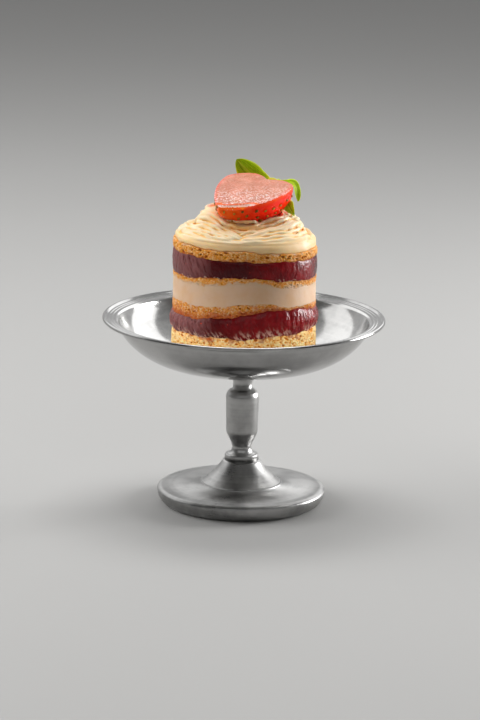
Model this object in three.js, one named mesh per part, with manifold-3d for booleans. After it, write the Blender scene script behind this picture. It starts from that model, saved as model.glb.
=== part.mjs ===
// A mini layer cake standing in its footed metal dish, in millimetres, +Z up.
// The origin is the middle of the foot's underside, and the front of the cake faces -Y.
import * as THREE from 'three';
import { mergeVertices } from 'three/addons/utils/BufferGeometryUtils.js';
import Module from 'manifold-3d';

const wasm = await Module();
wasm.setup();

// Clearance between pieces that touch.
const GAP = 0.3;
// Points along a bend of a turned profile.
const BEND_POINTS = 4;
// Step over a surface from which the way that it faces is worked out.
const SURFACE_STEP = 0.01;

// Foot of the dish: a turned disc with a raised cone in the middle.
const FOOT_SIDES = 56;
const FOOT_RADIUS = 38.3;
const FOOT_EDGE_HEIGHT = 6.3;
const FOOT_REST_RADIUS = 32.6;
const FOOT_REST_WIDTH = 2;
const FOOT_RECESS = 3;
const FOOT_DISC_RADIUS = 35.4;
const FOOT_DISC_HEIGHT = 7.8;
const CONE_RADIUS = 18.4;
const CONE_BASE = 9.7;
const CONE_TOP_RADIUS = 8.4;
const CONE_TOP = 20;
const CONE_HOLLOW = 0.5;
const CONE_POINTS = 5;

// Stem: a collar, a thin waist, a long baluster body, a neck and a flared head.
const STEM_SIDES = 28;
const STEM_BASE = CONE_TOP + GAP;
const COLLAR_RADIUS = 7.65;
const COLLAR_TOP = 23;
const COLLAR_ROUND = 0.7;
const WAIST_RADIUS = 4.35;
const WAIST_HEIGHT = 26.4;
const SWELL_EASE = 0.65;
const SWELL_POINTS = 5;
const BODY_FOOT_RADIUS = 7.2;
const BODY_FOOT_HEIGHT = 33.8;
const BODY_HEAD_RADIUS = 7.5;
const BODY_HEAD_HEIGHT = 49.7;
const NECK_RADIUS = 4.4;
const NECK_HEIGHT = 53.2;
const FLARE_HEIGHT = 56.2;
const HEAD_RADIUS = 10.5;
const HEAD_HEIGHT = 63;

// Bowl: a flat middle, a side that rises as part of an ellipse, and a flange with a rolled lip.
const BOWL_SIDES = 56;
const BOWL_BASE = 64.2;
const BOWL_FLAT = 24;
const BOWL_SPREAD = 36;
const BOWL_RISE = 30;
const BOWL_WALL = 1.3;
const BOWL_FLOOR_RADIUS = 34;
const BOWL_OUTSIDE_POINTS = 7;
const BOWL_INSIDE_POINTS = 6;
const FLANGE_UNDERSIDE = 84.3;
const FLANGE_INNER_RADIUS = 57.8;
const FLANGE_OUTER_RADIUS = 61.9;
const FLANGE_TOP = 85.5;
const LIP_RADIUS = 0.9;
const LIP_HEIGHT = 86;
const LIP_BEARINGS = [-110, -55, 0, 60, 130];
const RIM_RADIUS = 64;

// Cake: round layers whose faces wave gently near the side.
const CAKE_SIDES = 40;
const CRUMB_RELIEF = 0.3;
const LAYER_CORE = 0.55;
// Each face: height, lean towards one bearing, and a hump at another; bearings in degrees, 270 is front.
const FACES = [
  { height: 83.3, lean: 1, leanTo: 335, hump: -1, humpAt: 268, humpWidth: 7 },
  { height: 91.1, lean: 1.1, leanTo: 340, hump: 4.1, humpAt: 297, humpWidth: 42 },
  { height: 96.4, lean: 0.4, leanTo: 215, hump: 3, humpAt: 279, humpWidth: 24 },
  { height: 105.3, lean: 0.8, leanTo: 190, hump: 3.3, humpAt: 274, humpWidth: 24 },
  { height: 107.8, lean: 0.6, leanTo: 200, hump: 3, humpAt: 268, humpWidth: 38 },
  { height: 117.6, lean: 1.3, leanTo: 190, hump: 0.5, humpAt: 295, humpWidth: 30 },
  { height: 121.6, lean: 1.6, leanTo: 190, hump: 0.9, humpAt: 272, humpWidth: 12 },
];

// Cream on top: a spread disc with a rounded edge, and over it a mound of piped strands with a low
// outer part, the apron, and a steep inner one.
const CREAM_SIDES = 52;
const CREAM_RADIUS = 31.7;
const CREAM_UNDERCUT = 0.6;
const CREAM_WALL = 0.6;
const EDGE_WIDTH = 1.8;
const DISC_TOP = 125;
const DISC_LEAN = 0.8;
const DISC_LEAN_TO = 215;
const APRON_CAP = 2.8;
const APRON_SLOPE = 0.95;
const MOUND_RADIUS = 24.1;
const MOUND_SHIFT = 1.6;
const MOUND_CAP = 7.4;
const MOUND_LEAN = 1.4;
const MOUND_SLOPE = 2.6;
const FRONT_RADIUS = 26;
const FRONT_CAP = 7.5;
const FRONT_SLOPE = 0.38;
const FRONT_FROM = -0.2;
const FRONT_FULL = 0.9;
const STRANDS = 7;
const STRAND_ROWS = 3;
const STRAND_PITCH = 3.5;
const STRAND_RISE = 0.8;
const SWIRL_SHIFT = 1;
const SWIRL_TURN = 25;

// Strawberry half: cut face up, tilted to the front, its tip to the front left.
const BERRY_MIDDLE = new THREE.Vector3(-0.6, -3, 144.6);
const BERRY_LENGTH = 39.2;
const BERRY_WIDTH = 34.4;
const BERRY_DEPTH = 15.5;
const BERRY_HEADING = 232.4;
const BERRY_TILT = 12.5;
const BERRY_ROLL = -2.7;
const BERRY_STATIONS = 11;
const BERRY_BELLY_POINTS = 14;
const BERRY_FACE_POINTS = 7;
const BERRY_BLUNT = 0.84;
const BELLY_DEEPEN = 0.72;
const BELLY_FULL = 0.88;
// The two sides of the cut face, right of the tip and left of it: half width as a share of the width,
// share of that at the stem end, where along it is widest, and how late it tapers.
const BERRY_SIDES = [
  { half: 0.526, shoulder: 0.62, widest: 0.24, taper: 1.6 },
  { half: 0.474, shoulder: 0.86, widest: 0.35, taper: 2.6 },
];
const NOTCH_DEPTH = 2.4;
const NOTCH_WIDTH = 3.4;
const NOTCH_REACH = 0.2;
const SEED_SPACING = 5.8;
const SEED_SIZE = new THREE.Vector3(0.85, 0.55, 0.4);
const SEED_SINK = 0.18;
const SEED_MARGIN = 0.16;
const SEED_STAGGER = 0.3;
const SEED_SIDES = 5;
const SEED_RINGS = 3;

// Calyx: a small hub at the stem end, with leaves that curl away from it.
const HUB_SIZE = new THREE.Vector3(1.4, 3.6, 2.6);
const HUB_DROP = 3.4;
const HUB_SIDES = 10;
const HUB_RINGS = 6;
const LEAF_THICKNESS = 0.5;
const LEAF_STATIONS = 7;
const LEAF_COLUMNS = 4;
const LEAF_CUP = 0.7;
const LEAF_WAVE = 0.2;
const LEAF_WAVES = 2.5;
const LEAF_ROOT = 0.3;
const LEAF_TIP = 0.04;
// Each leaf: the points after the hub that its midrib runs through, its half width, the way that it
// faces, where along it is widest and how blunt its tip is.
const LEAVES = [
  {
    through: [[8, 19.8, 145.2], [1.4, 21.6, 148], [-4.2, 22, 154.4]],
    half: 4.9,
    facing: [-0.1, -1, 0.25],
    widest: 0.66,
    taper: 2,
  },
  {
    through: [[18, 12, 146.2], [22, 9, 145.6], [23.4, 7.4, 138.8]],
    half: 2.1,
    facing: [0.6, -0.7, 0.4],
    widest: 0.6,
    taper: 2.2,
  },
  {
    through: [[19.4, 9.6, 141.6], [21.8, 3.6, 139.4], [21.8, -2.6, 136]],
    half: 2.3,
    facing: [0.45, -0.9, 0.25],
    widest: 0.65,
    taper: 1.5,
  },
  {
    through: [[17, 21.3, 146.6], [20, 25.5, 143.2]],
    half: 3,
    facing: [0.3, 0.5, 0.9],
    widest: 0.6,
    taper: 2.2,
  },
];

const STEEL = { color: 0xb9b8b5, roughness: 0.32, metalness: 1 };
const SPONGE = { color: 0xd8a763, roughness: 0.9, metalness: 0 };
const JAM = { color: 0x650a14, roughness: 0.15, metalness: 0 };
const CREAM = { color: 0xf1dfbf, roughness: 0.5, metalness: 0 };
const BERRY = { color: 0xd13a22, roughness: 0.3, metalness: 0 };
const LEAF = { color: 0x7d9418, roughness: 0.55, metalness: 0 };

const radians = THREE.MathUtils.degToRad;
const point = (x, y, z) => new THREE.Vector3(x, y, z);
const flat = (r, z) => new THREE.Vector2(r, z);

// Evenly spaced values from 0 to 1, both ends counted.
const steps = (count) => Array.from({ length: count }, (_, i) => i / (count - 1));

// A repeatable stream of numbers between 0 and 1.
function seeded(seed) {
  let state = seed;
  return () => {
    state = (state * 1664525 + 1013904223) % 4294967296;
    return state / 4294967296;
  };
}

// A turned piece from its profile of radius and height.
function turned(profile, sides) {
  return new THREE.LatheGeometry(profile, sides).rotateX(Math.PI / 2);
}

// A closed solid through rings of points, with a single point closing each end.
// From column flipFrom on, the quads are split along their other diagonal.
function loft(rings, start, end, flipFrom = Infinity) {
  const count = rings[0].length;
  const points = [...rings.flat(), start, end];
  const first = points.length - 2;
  const top = (rings.length - 1) * count;
  const faces = [];
  for (let j = 0; j < count; j += 1) {
    const next = (j + 1) % count;
    faces.push(first, next, j, top + j, top + next, first + 1);
    for (let base = 0; base < top; base += count) {
      const [a, b] = [base + j, base + next];
      const [c, d] = [b + count, a + count];
      faces.push(...(j < flipFrom ? [a, b, c, a, c, d] : [a, b, d, b, c, d]));
    }
  }
  const geometry = new THREE.BufferGeometry().setFromPoints(points);
  geometry.setIndex(faces);
  geometry.computeVertexNormals();
  return geometry;
}

function toSolid(geometry) {
  const bare = geometry.clone();
  bare.deleteAttribute('normal');
  bare.deleteAttribute('uv');
  const merged = mergeVertices(bare);
  return new wasm.Manifold(new wasm.Mesh({
    numProp: 3,
    vertProperties: merged.attributes.position.array,
    triVerts: Uint32Array.from(merged.index.array),
  }));
}

function toGeometry(solid) {
  const mesh = solid.getMesh();
  const geometry = new THREE.BufferGeometry();
  geometry.setAttribute('position', new THREE.BufferAttribute(mesh.vertProperties, 3));
  geometry.setIndex(new THREE.BufferAttribute(mesh.triVerts, 1));
  geometry.computeVertexNormals();
  return geometry;
}

// A bend between two points of a profile, leaving the first along the radius or along the axis.
function bend(from, to, alongRadius) {
  return steps(BEND_POINTS).slice(1).map((t) => {
    const sine = Math.sin(t * Math.PI / 2);
    const rest = 1 - Math.cos(t * Math.PI / 2);
    const [out, up] = alongRadius ? [sine, rest] : [rest, sine];
    return flat(THREE.MathUtils.lerp(from.x, to.x, out), THREE.MathUtils.lerp(from.y, to.y, up));
  });
}

// Foot: rests on a narrow ring round a shallow recess, and swells out to a rounded edge.
function footGeometry() {
  const rest = flat(FOOT_REST_RADIUS, 0);
  const edge = flat(FOOT_RADIUS, FOOT_EDGE_HEIGHT);
  const profile = [
    flat(0, FOOT_RECESS),
    flat(FOOT_REST_RADIUS - 2 * FOOT_REST_WIDTH, FOOT_RECESS),
    flat(FOOT_REST_RADIUS - FOOT_REST_WIDTH, 0),
    rest,
    ...bend(rest, edge, true),
    ...bend(edge, flat(FOOT_DISC_RADIUS, FOOT_DISC_HEIGHT), false),
    flat(CONE_RADIUS, CONE_BASE),
  ];
  for (const t of steps(CONE_POINTS).slice(1)) {
    const sag = CONE_HOLLOW * Math.sin(Math.PI * t);
    const radius = THREE.MathUtils.lerp(CONE_RADIUS, CONE_TOP_RADIUS, t) - sag;
    profile.push(flat(radius, THREE.MathUtils.lerp(CONE_BASE, CONE_TOP, t) - sag));
  }
  profile.push(flat(0, CONE_TOP));
  return turned(profile, FOOT_SIDES);
}

// Stem: coves at the collar and under the bowl, a swell out to the body and a round shoulder.
function stemGeometry() {
  const collar = flat(COLLAR_RADIUS - COLLAR_ROUND, COLLAR_TOP);
  const waist = flat(WAIST_RADIUS, WAIST_HEIGHT);
  const shoulder = flat(BODY_HEAD_RADIUS, BODY_HEAD_HEIGHT);
  const flare = flat(NECK_RADIUS, FLARE_HEIGHT);
  const swell = steps(SWELL_POINTS).slice(1).map((t) => {
    const share = THREE.MathUtils.lerp(t, THREE.MathUtils.smoothstep(t, 0, 1), SWELL_EASE);
    const radius = THREE.MathUtils.lerp(WAIST_RADIUS, BODY_FOOT_RADIUS, share);
    return flat(radius, THREE.MathUtils.lerp(WAIST_HEIGHT, BODY_FOOT_HEIGHT, t));
  });
  const profile = [
    flat(0, STEM_BASE),
    flat(COLLAR_RADIUS, STEM_BASE),
    flat(COLLAR_RADIUS, COLLAR_TOP - COLLAR_ROUND),
    collar,
    ...bend(collar, waist, true),
    ...swell,
    shoulder,
    ...bend(shoulder, flat(NECK_RADIUS, NECK_HEIGHT), false),
    flare,
    ...bend(flare, flat(HEAD_RADIUS, HEAD_HEIGHT), false),
    flat(HEAD_RADIUS, BOWL_BASE - GAP),
    flat(0, BOWL_BASE - GAP),
  ];
  return turned(profile, STEM_SIDES);
}

// A point of the bowl's side: its underside, or the inside one wall thickness further in.
function bowlSide(turn, wall) {
  const normal = flat(-Math.sin(turn) / BOWL_SPREAD, Math.cos(turn) / BOWL_RISE).setLength(wall);
  const radius = BOWL_FLAT + BOWL_SPREAD * Math.sin(turn);
  return normal.add(flat(radius, BOWL_BASE + BOWL_RISE * (1 - Math.cos(turn))));
}

const BOWL_END_TURN = Math.acos(1 - (FLANGE_UNDERSIDE - BOWL_BASE) / BOWL_RISE);
const BOWL_FLOOR_TURN = Math.asin((BOWL_FLOOR_RADIUS - BOWL_FLAT) / BOWL_SPREAD);
const BOWL_FLOOR = bowlSide(BOWL_FLOOR_TURN, BOWL_WALL).y;

function bowlGeometry() {
  const lipMiddle = flat(RIM_RADIUS - LIP_RADIUS, LIP_HEIGHT);
  const bead = (bearing) => flat(LIP_RADIUS, 0).rotateAround(flat(0, 0), radians(bearing)).add(lipMiddle);
  const inside = (t) => bowlSide(THREE.MathUtils.lerp(BOWL_END_TURN, BOWL_FLOOR_TURN, t), BOWL_WALL);
  const profile = [
    flat(0, BOWL_BASE),
    ...steps(BOWL_OUTSIDE_POINTS).map((t) => bowlSide(t * BOWL_END_TURN, 0)),
    ...LIP_BEARINGS.map(bead),
    flat(FLANGE_OUTER_RADIUS, LIP_HEIGHT),
    flat(FLANGE_INNER_RADIUS, FLANGE_TOP),
    ...steps(BOWL_INSIDE_POINTS).map(inside),
    flat(0, BOWL_FLOOR),
  ];
  return turned(profile, BOWL_SIDES);
}

// Height of one face between layers at a bearing; the wave dies away towards the middle.
function faceHeight(face, turn, share) {
  const off = THREE.MathUtils.euclideanModulo(turn - radians(face.humpAt) + Math.PI, 2 * Math.PI) - Math.PI;
  const hump = face.hump * Math.exp(-((off / radians(face.humpWidth)) ** 2));
  const lean = face.lean * Math.cos(turn - radians(face.leanTo));
  return face.height + (hump + lean) * share ** 2;
}

// A ring of points round the cake's axis.
function ring(sides, radiusAt, heightAt) {
  return Array.from({ length: sides }, (_, i) => {
    const turn = 2 * Math.PI * i / sides;
    const radius = radiusAt(turn);
    return point(radius * Math.cos(turn), radius * Math.sin(turn), heightAt(turn));
  });
}

// One layer between two faces. Its side bulges, and is craggy where the layer is sponge.
function layerGeometry({ radius, bulge, relief, rows, below, above, seed }) {
  const random = seeded(seed);
  const lower = (turn, share) => (below ? faceHeight(below, turn, share) + GAP / 2 : BOWL_FLOOR + GAP);
  const upper = (turn, share) => faceHeight(above, turn, share) - GAP / 2;
  const core = () => LAYER_CORE * radius;
  const rings = [ring(CAKE_SIDES, core, (turn) => lower(turn, LAYER_CORE))];
  for (const t of steps(rows + 1)) {
    const swell = bulge * Math.sin(Math.PI * t);
    const side = () => radius + swell + relief * (2 * random() - 1);
    const height = (turn) => THREE.MathUtils.lerp(lower(turn, 1), upper(turn, 1), t);
    rings.push(ring(CAKE_SIDES, side, height));
  }
  rings.push(ring(CAKE_SIDES, core, (turn) => upper(turn, LAYER_CORE)));
  return loft(rings, point(0, 0, lower(0, 0)), point(0, 0, upper(0, 0)));
}

// Layers from the bowl up. Each reaches from the face before it to the face of its own place.
const LAYERS = [
  { name: 'sponge_bottom', look: SPONGE, radius: 32.7, bulge: 0.2, rows: 4 },
  { name: 'jam_lower', look: JAM, radius: 32.7, bulge: 0.8, rows: 4 },
  { name: 'sponge_lower', look: SPONGE, radius: 32.3, bulge: 0, rows: 2 },
  { name: 'cream_middle', look: CREAM, radius: 31.9, bulge: 0.1, rows: 3 },
  { name: 'sponge_thin', look: SPONGE, radius: 32, bulge: 0, rows: 2 },
  { name: 'jam_upper', look: JAM, radius: 32.2, bulge: 0.2, rows: 4 },
  { name: 'sponge_top', look: SPONGE, radius: 32.3, bulge: 0.1, rows: 2 },
];
const CAKE_TOP = FACES[FACES.length - 1];

// Height of the top of the disc's edge.
function discHeight(turn) {
  return DISC_TOP + DISC_LEAN * Math.cos(turn - radians(DISC_LEAN_TO));
}

// Height of a slope that starts at a way of 0 and levels off at a cap.
function climb(way, slope, cap) {
  return cap * Math.tanh(slope * Math.max(way, 0) / cap);
}

// Height of the mound without its strands. It is pressed lower at the front, under the strawberry.
function moundHeight(radius, turn) {
  const front = THREE.MathUtils.smoothstep(-Math.sin(turn), FRONT_FROM, FRONT_FULL);
  const foot = THREE.MathUtils.lerp(MOUND_RADIUS, FRONT_RADIUS, front) + MOUND_SHIFT * Math.cos(turn);
  const slope = THREE.MathUtils.lerp(MOUND_SLOPE, FRONT_SLOPE, front);
  const cap = THREE.MathUtils.lerp(MOUND_CAP - MOUND_LEAN * Math.cos(turn), FRONT_CAP, front);
  const apron = climb(CREAM_RADIUS - EDGE_WIDTH - radius, APRON_SLOPE, APRON_CAP);
  return discHeight(turn) + apron + climb(foot - radius, slope, cap);
}

// A ring round the mound that stands out from it by a distance, along the way that it faces.
function moundRing(radiusAt, out) {
  const steepness = (turn) => {
    const height = (step) => moundHeight(radiusAt(turn) + step, turn);
    return (height(SURFACE_STEP) - height(-SURFACE_STEP)) / (2 * SURFACE_STEP);
  };
  const reach = (turn) => out / Math.hypot(1, steepness(turn));
  return ring(
    CREAM_SIDES,
    (turn) => radiusAt(turn) - steepness(turn) * reach(turn),
    (turn) => moundHeight(radiusAt(turn), turn) + reach(turn),
  );
}

// Cream on top: a low wall and a rounded edge, then rows that rise over each strand and dip between.
function creamGeometry() {
  const under = (turn, share) => faceHeight(CAKE_TOP, turn, share) + GAP / 2;
  const rings = [
    ring(CREAM_SIDES, () => LAYER_CORE * CREAM_RADIUS, (turn) => under(turn, LAYER_CORE)),
    ring(CREAM_SIDES, () => CREAM_RADIUS - CREAM_UNDERCUT, (turn) => under(turn, 1)),
    ring(CREAM_SIDES, () => CREAM_RADIUS, (turn) => under(turn, 1) + CREAM_WALL),
  ];
  for (const edge of bend(flat(CREAM_RADIUS, 0), flat(CREAM_RADIUS - EDGE_WIDTH, 1), false)) {
    const height = (turn) => THREE.MathUtils.lerp(under(turn, 1) + CREAM_WALL, discHeight(turn), edge.y);
    rings.push(ring(CREAM_SIDES, () => edge.x, height));
  }
  for (let row = 1; row <= STRAND_ROWS * STRANDS; row += 1) {
    const radius = CREAM_RADIUS - EDGE_WIDTH - STRAND_PITCH * row / STRAND_ROWS;
    const shift = SWIRL_SHIFT * Math.min((row - 1) / STRAND_ROWS, 1);
    const radiusAt = (turn) => radius + shift * Math.cos(turn - radians(SWIRL_TURN * row));
    rings.push(moundRing(radiusAt, row % STRAND_ROWS === 0 ? 0 : STRAND_RISE));
  }
  return loft(rings, point(0, 0, under(0, 0)), point(0, 0, DISC_TOP + APRON_CAP + FRONT_CAP));
}

// Share of its half width that a side of the strawberry has at a share of its length from the stem end.
function sideShape({ shoulder, widest, taper }, share) {
  if (share < widest) {
    return THREE.MathUtils.lerp(shoulder, 1, Math.sin(Math.PI / 2 * share / widest));
  }
  return (1 - ((share - widest) / (1 - widest)) ** taper) ** BERRY_BLUNT;
}

// Mean of the two sides' shapes.
function berryShape(share) {
  return BERRY_SIDES.reduce((sum, side) => sum + sideShape(side, share), 0) / BERRY_SIDES.length;
}

// How far the stem end is drawn in at a place across it.
function notch(across, share) {
  return NOTCH_DEPTH * Math.exp(-((across / NOTCH_WIDTH) ** 2)) * Math.max(1 - share / NOTCH_REACH, 0);
}

// A point of the strawberry's belly in its own frame: +X to the tip, +Z out of the cut face.
function bellyPoint(share, turn, grow) {
  const full = (value) => Math.sign(value) * Math.abs(value) ** BELLY_FULL;
  const side = BERRY_SIDES[Math.cos(turn) > 0 ? 1 : 0];
  const across = (BERRY_WIDTH * side.half * sideShape(side, share) + grow) * full(Math.cos(turn));
  const down = (BERRY_DEPTH * berryShape(share) ** BELLY_DEEPEN + grow) * full(Math.sin(turn));
  const along = (share - 0.5) * (BERRY_LENGTH + 2 * grow);
  return point(along + notch(across, share), across, down);
}

// The way that the belly faces at a point, from two short steps over it.
function bellyNormal(share, turn) {
  const here = bellyPoint(share, turn, 0);
  const along = bellyPoint(share + SURFACE_STEP, turn, 0).sub(here);
  const round = bellyPoint(share, turn + SURFACE_STEP, 0).sub(here);
  return along.cross(round).normalize().negate();
}

// The strawberry half without seeds, larger all round by grow.
function berryGeometry(grow) {
  const lift = point(0, 0, grow);
  const rings = steps(BERRY_STATIONS).slice(0, -1).map((t) => {
    const share = Math.sin(Math.PI / 2 * t);
    const belly = steps(BERRY_BELLY_POINTS).map((s) => bellyPoint(share, Math.PI * (1 + s), grow));
    const [left, right] = [belly[0], belly[BERRY_BELLY_POINTS - 1]];
    const face = steps(BERRY_FACE_POINTS).map((s) => {
      const place = right.clone().lerp(left, s).add(lift);
      return place.setX(place.x + notch(place.y, share));
    });
    return [...belly, ...(grow > 0 ? face : face.slice(1, -1))];
  });
  const end = BERRY_LENGTH / 2 + grow;
  const stem = point(notch(0, 0) - end, 0, -BERRY_DEPTH * berryShape(0) / 2);
  return loft(rings, stem, point(end, 0, 0));
}

// Seeds stand in staggered rows round the belly, each a small flattened bead.
function berryWithSeeds() {
  let solid = toSolid(berryGeometry(0));
  const rows = Math.round(BERRY_LENGTH / SEED_SPACING);
  for (let row = 1; row < rows; row += 1) {
    const share = row / rows;
    const girth = Math.PI * BERRY_WIDTH / 2 * berryShape(share);
    const count = Math.max(Math.round(girth / SEED_SPACING), 2);
    for (let i = 0; i < count; i += 1) {
      const spread = (i + (row % 2 ? SEED_STAGGER : 1 - SEED_STAGGER)) / count;
      const turn = Math.PI * (1 + THREE.MathUtils.lerp(SEED_MARGIN / 2, 1 - SEED_MARGIN / 2, spread));
      const facing = new THREE.Quaternion().setFromUnitVectors(point(0, 0, 1), bellyNormal(share, turn));
      const bead = new THREE.SphereGeometry(1, SEED_SIDES, SEED_RINGS).scale(...SEED_SIZE);
      bead.applyQuaternion(facing);
      bead.translate(...bellyPoint(share, turn, -SEED_SINK));
      solid = solid.add(toSolid(bead));
    }
  }
  return toGeometry(solid);
}

// Places a shape made in the strawberry's own frame on the cream.
function berryPlace() {
  const roll = new THREE.Matrix4().makeRotationY(radians(BERRY_ROLL));
  const tilt = new THREE.Matrix4().makeRotationX(radians(BERRY_TILT));
  const heading = new THREE.Matrix4().makeRotationZ(radians(BERRY_HEADING));
  return new THREE.Matrix4().setPosition(BERRY_MIDDLE).multiply(roll).multiply(tilt).multiply(heading);
}

// One leaf: a thin sheet along its midrib, cupped across and wavy along, pointed at the tip.
function leafGeometry(hub, { through, half, facing, widest, taper }) {
  const midrib = new THREE.CatmullRomCurve3([hub, ...through.map((p) => point(...p))]);
  const columns = steps(LEAF_COLUMNS + 1).map((t) => 1 - 2 * t);
  const rings = steps(LEAF_STATIONS).map((t) => {
    const along = midrib.getTangentAt(t);
    const across = point(...facing).cross(along).normalize();
    const up = along.clone().cross(across);
    const widen = THREE.MathUtils.lerp(LEAF_ROOT, 1, THREE.MathUtils.smoothstep(t, 0, widest));
    const narrow = Math.max((t - widest) / (1 - widest), 0);
    const reach = half * widen * Math.sqrt(1 + LEAF_TIP - narrow ** taper);
    const wave = LEAF_WAVE * Math.sin(2 * Math.PI * LEAF_WAVES * t);
    const sheet = (side, column) => midrib.getPointAt(t)
      .addScaledVector(across, reach * column)
      .addScaledVector(up, side * LEAF_THICKNESS / 2 + LEAF_CUP * column ** 2 + wave * column);
    const top = columns.map((column) => sheet(1, column));
    const bottom = columns.map((column) => sheet(-1, column)).reverse();
    return [...top, ...bottom];
  });
  return loft(rings, midrib.getPointAt(0), midrib.getPointAt(1), LEAF_COLUMNS + 1);
}

function calyxSolid() {
  const outset = BERRY_LENGTH / 2 + HUB_SIZE.x + GAP;
  const middle = point(-outset, 0, -HUB_DROP);
  const hub = new THREE.SphereGeometry(1, HUB_SIDES, HUB_RINGS).scale(...HUB_SIZE);
  hub.translate(...middle).applyMatrix4(berryPlace());
  middle.applyMatrix4(berryPlace());
  let solid = toSolid(hub);
  for (const leaf of LEAVES) {
    solid = solid.add(toSolid(leafGeometry(middle, leaf)));
  }
  return solid;
}

function mesh(name, geometry, look) {
  const piece = new THREE.Mesh(geometry, new THREE.MeshStandardMaterial(look));
  piece.name = name;
  return piece;
}

const dish = new THREE.Group();
dish.add(mesh('dish_foot', footGeometry(), STEEL));
dish.add(mesh('dish_stem', stemGeometry(), STEEL));
dish.add(mesh('dish_bowl', bowlGeometry(), STEEL));

const cake = new THREE.Group();
LAYERS.forEach(({ name, look, ...size }, index) => {
  const relief = look === SPONGE ? CRUMB_RELIEF : 0;
  const between = { below: FACES[index - 1], above: FACES[index] };
  cake.add(mesh(name, layerGeometry({ ...size, ...between, relief, seed: index + 1 }), look));
});

// The strawberry lies in a hollow pressed into the cream.
const hollow = toSolid(berryGeometry(GAP + SEED_SIZE.z).applyMatrix4(berryPlace()));
const topping = new THREE.Group();
topping.add(mesh('cream_top', toGeometry(toSolid(creamGeometry()).subtract(hollow)), CREAM));
topping.add(mesh('strawberry_half', berryWithSeeds().applyMatrix4(berryPlace()), BERRY));
topping.add(mesh('calyx', toGeometry(calyxSolid().subtract(hollow)), LEAF));

const miniCake = new THREE.Group();
miniCake.add(dish, cake, topping);

export default miniCake;
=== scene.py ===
"""A round mini layer cake with a strawberry half on top, standing in its footed metal dish."""

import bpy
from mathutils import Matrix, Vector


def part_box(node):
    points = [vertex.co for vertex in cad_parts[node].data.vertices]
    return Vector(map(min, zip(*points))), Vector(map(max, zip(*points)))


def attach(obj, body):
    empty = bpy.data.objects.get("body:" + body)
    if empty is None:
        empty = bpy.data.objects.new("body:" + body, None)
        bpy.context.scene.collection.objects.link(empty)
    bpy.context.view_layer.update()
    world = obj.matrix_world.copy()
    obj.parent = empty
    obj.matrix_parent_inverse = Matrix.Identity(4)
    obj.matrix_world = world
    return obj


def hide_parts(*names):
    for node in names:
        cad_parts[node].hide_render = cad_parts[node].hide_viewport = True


bl_info = {
    "name": "Mini cake in a footed dish",
    "version": (1, 0, 0),
    "blender": (4, 5, 0),
    "location": "View3D > Sidebar > Mini Cake",
    "description": "Builds a mini layer cake of sponge, jam and cream in its footed metal dish",
    "category": "Add Mesh",
}

import math
import random
from collections import namedtuple

import bmesh
import bpy
import numpy as np
from bpy.props import FloatProperty, FloatVectorProperty, IntProperty, PointerProperty
from mathutils import Matrix, Vector, kdtree

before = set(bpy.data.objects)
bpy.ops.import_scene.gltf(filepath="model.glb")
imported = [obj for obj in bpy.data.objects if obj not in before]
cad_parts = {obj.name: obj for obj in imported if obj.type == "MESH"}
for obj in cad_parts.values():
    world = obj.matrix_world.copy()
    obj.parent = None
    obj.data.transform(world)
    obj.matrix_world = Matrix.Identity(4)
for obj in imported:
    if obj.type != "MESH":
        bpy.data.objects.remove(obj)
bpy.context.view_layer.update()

BODY = "root"
MM = 0.001
FULL_TURN = 2.0 * math.pi

# Dish, in metres: the foot with its cone, the turned stem and the bowl with its flange and lip.
FOOT_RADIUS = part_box("dish_foot")[1].x
FOOT_REST = 32.6 * MM
FOOT_REST_WIDTH = 2.0 * MM
FOOT_RECESS = 3.0 * MM
FOOT_EDGE = 6.3 * MM
FOOT_DISC = (35.4 * MM, 7.8 * MM)
CONE_FOOT = (18.4 * MM, 9.7 * MM)
CONE_HEAD = (8.4 * MM, 20.0 * MM)
CONE_HOLLOW = 0.5 * MM
CONE_STEPS = 24
CONE_BEAD = 0.35 * MM
CONE_BEAD_BEARINGS = (-6.0, 134.0)
CONE_BEAD_STEPS = 10
FOOT_SIDE_STEPS = 16
STEM_FOOT_SINK = 0.5 * MM
STEM_HEAD_SINK = 0.3 * MM
COLLAR = (7.65 * MM, 23.0 * MM)
COLLAR_ROUND = 0.7 * MM
COLLAR_STEPS = 7
WAIST = (4.35 * MM, 26.4 * MM)
SWELL_EASE = 0.65
SWELL_STEPS = 20
BODY_FOOT = (7.2 * MM, 33.8 * MM)
BODY_HEAD = (7.5 * MM, 49.7 * MM)
NECK = (4.4 * MM, 53.2 * MM)
FLARE_HEIGHT = 56.2 * MM
HEAD = (10.5 * MM, 63.0 * MM)
BOWL_BASE = 64.2 * MM
BOWL_FLAT = 24.0 * MM
BOWL_SPREAD = 36.0 * MM
BOWL_RISE = 30.0 * MM
BOWL_WALL = 1.3 * MM
BOWL_STEPS = 40
BOWL_FLOOR_RADIUS = 34.0 * MM
BOWL_FLOOR_SLACK = 0.1 * MM
FLANGE_UNDERSIDE = 84.3 * MM
FLANGE_INNER = (57.8 * MM, 85.5 * MM)
FLANGE_OUTER = (61.9 * MM, 86.0 * MM)
FLANGE_SKIN = 0.5 * MM
# Painted light: the share of the bowl's lighter inside steel on the flange.
FLANGE_LIT_SHARE = 0.15
FLANGE_STEPS = 40
SHOULDER_ROUND = 0.6 * MM
GROOVES = (59.2 * MM, 60.6 * MM)
GROOVE_WIDTH = 0.3 * MM
GROOVE_DEPTH = 0.2 * MM
LIP_RADIUS = 0.9 * MM
LIP_HEIGHT = 86.0 * MM
LIP_BEARINGS = (-110.0, 135.0)
LIP_STEPS = 20
RIM_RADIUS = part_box("dish_bowl")[1].x

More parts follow.
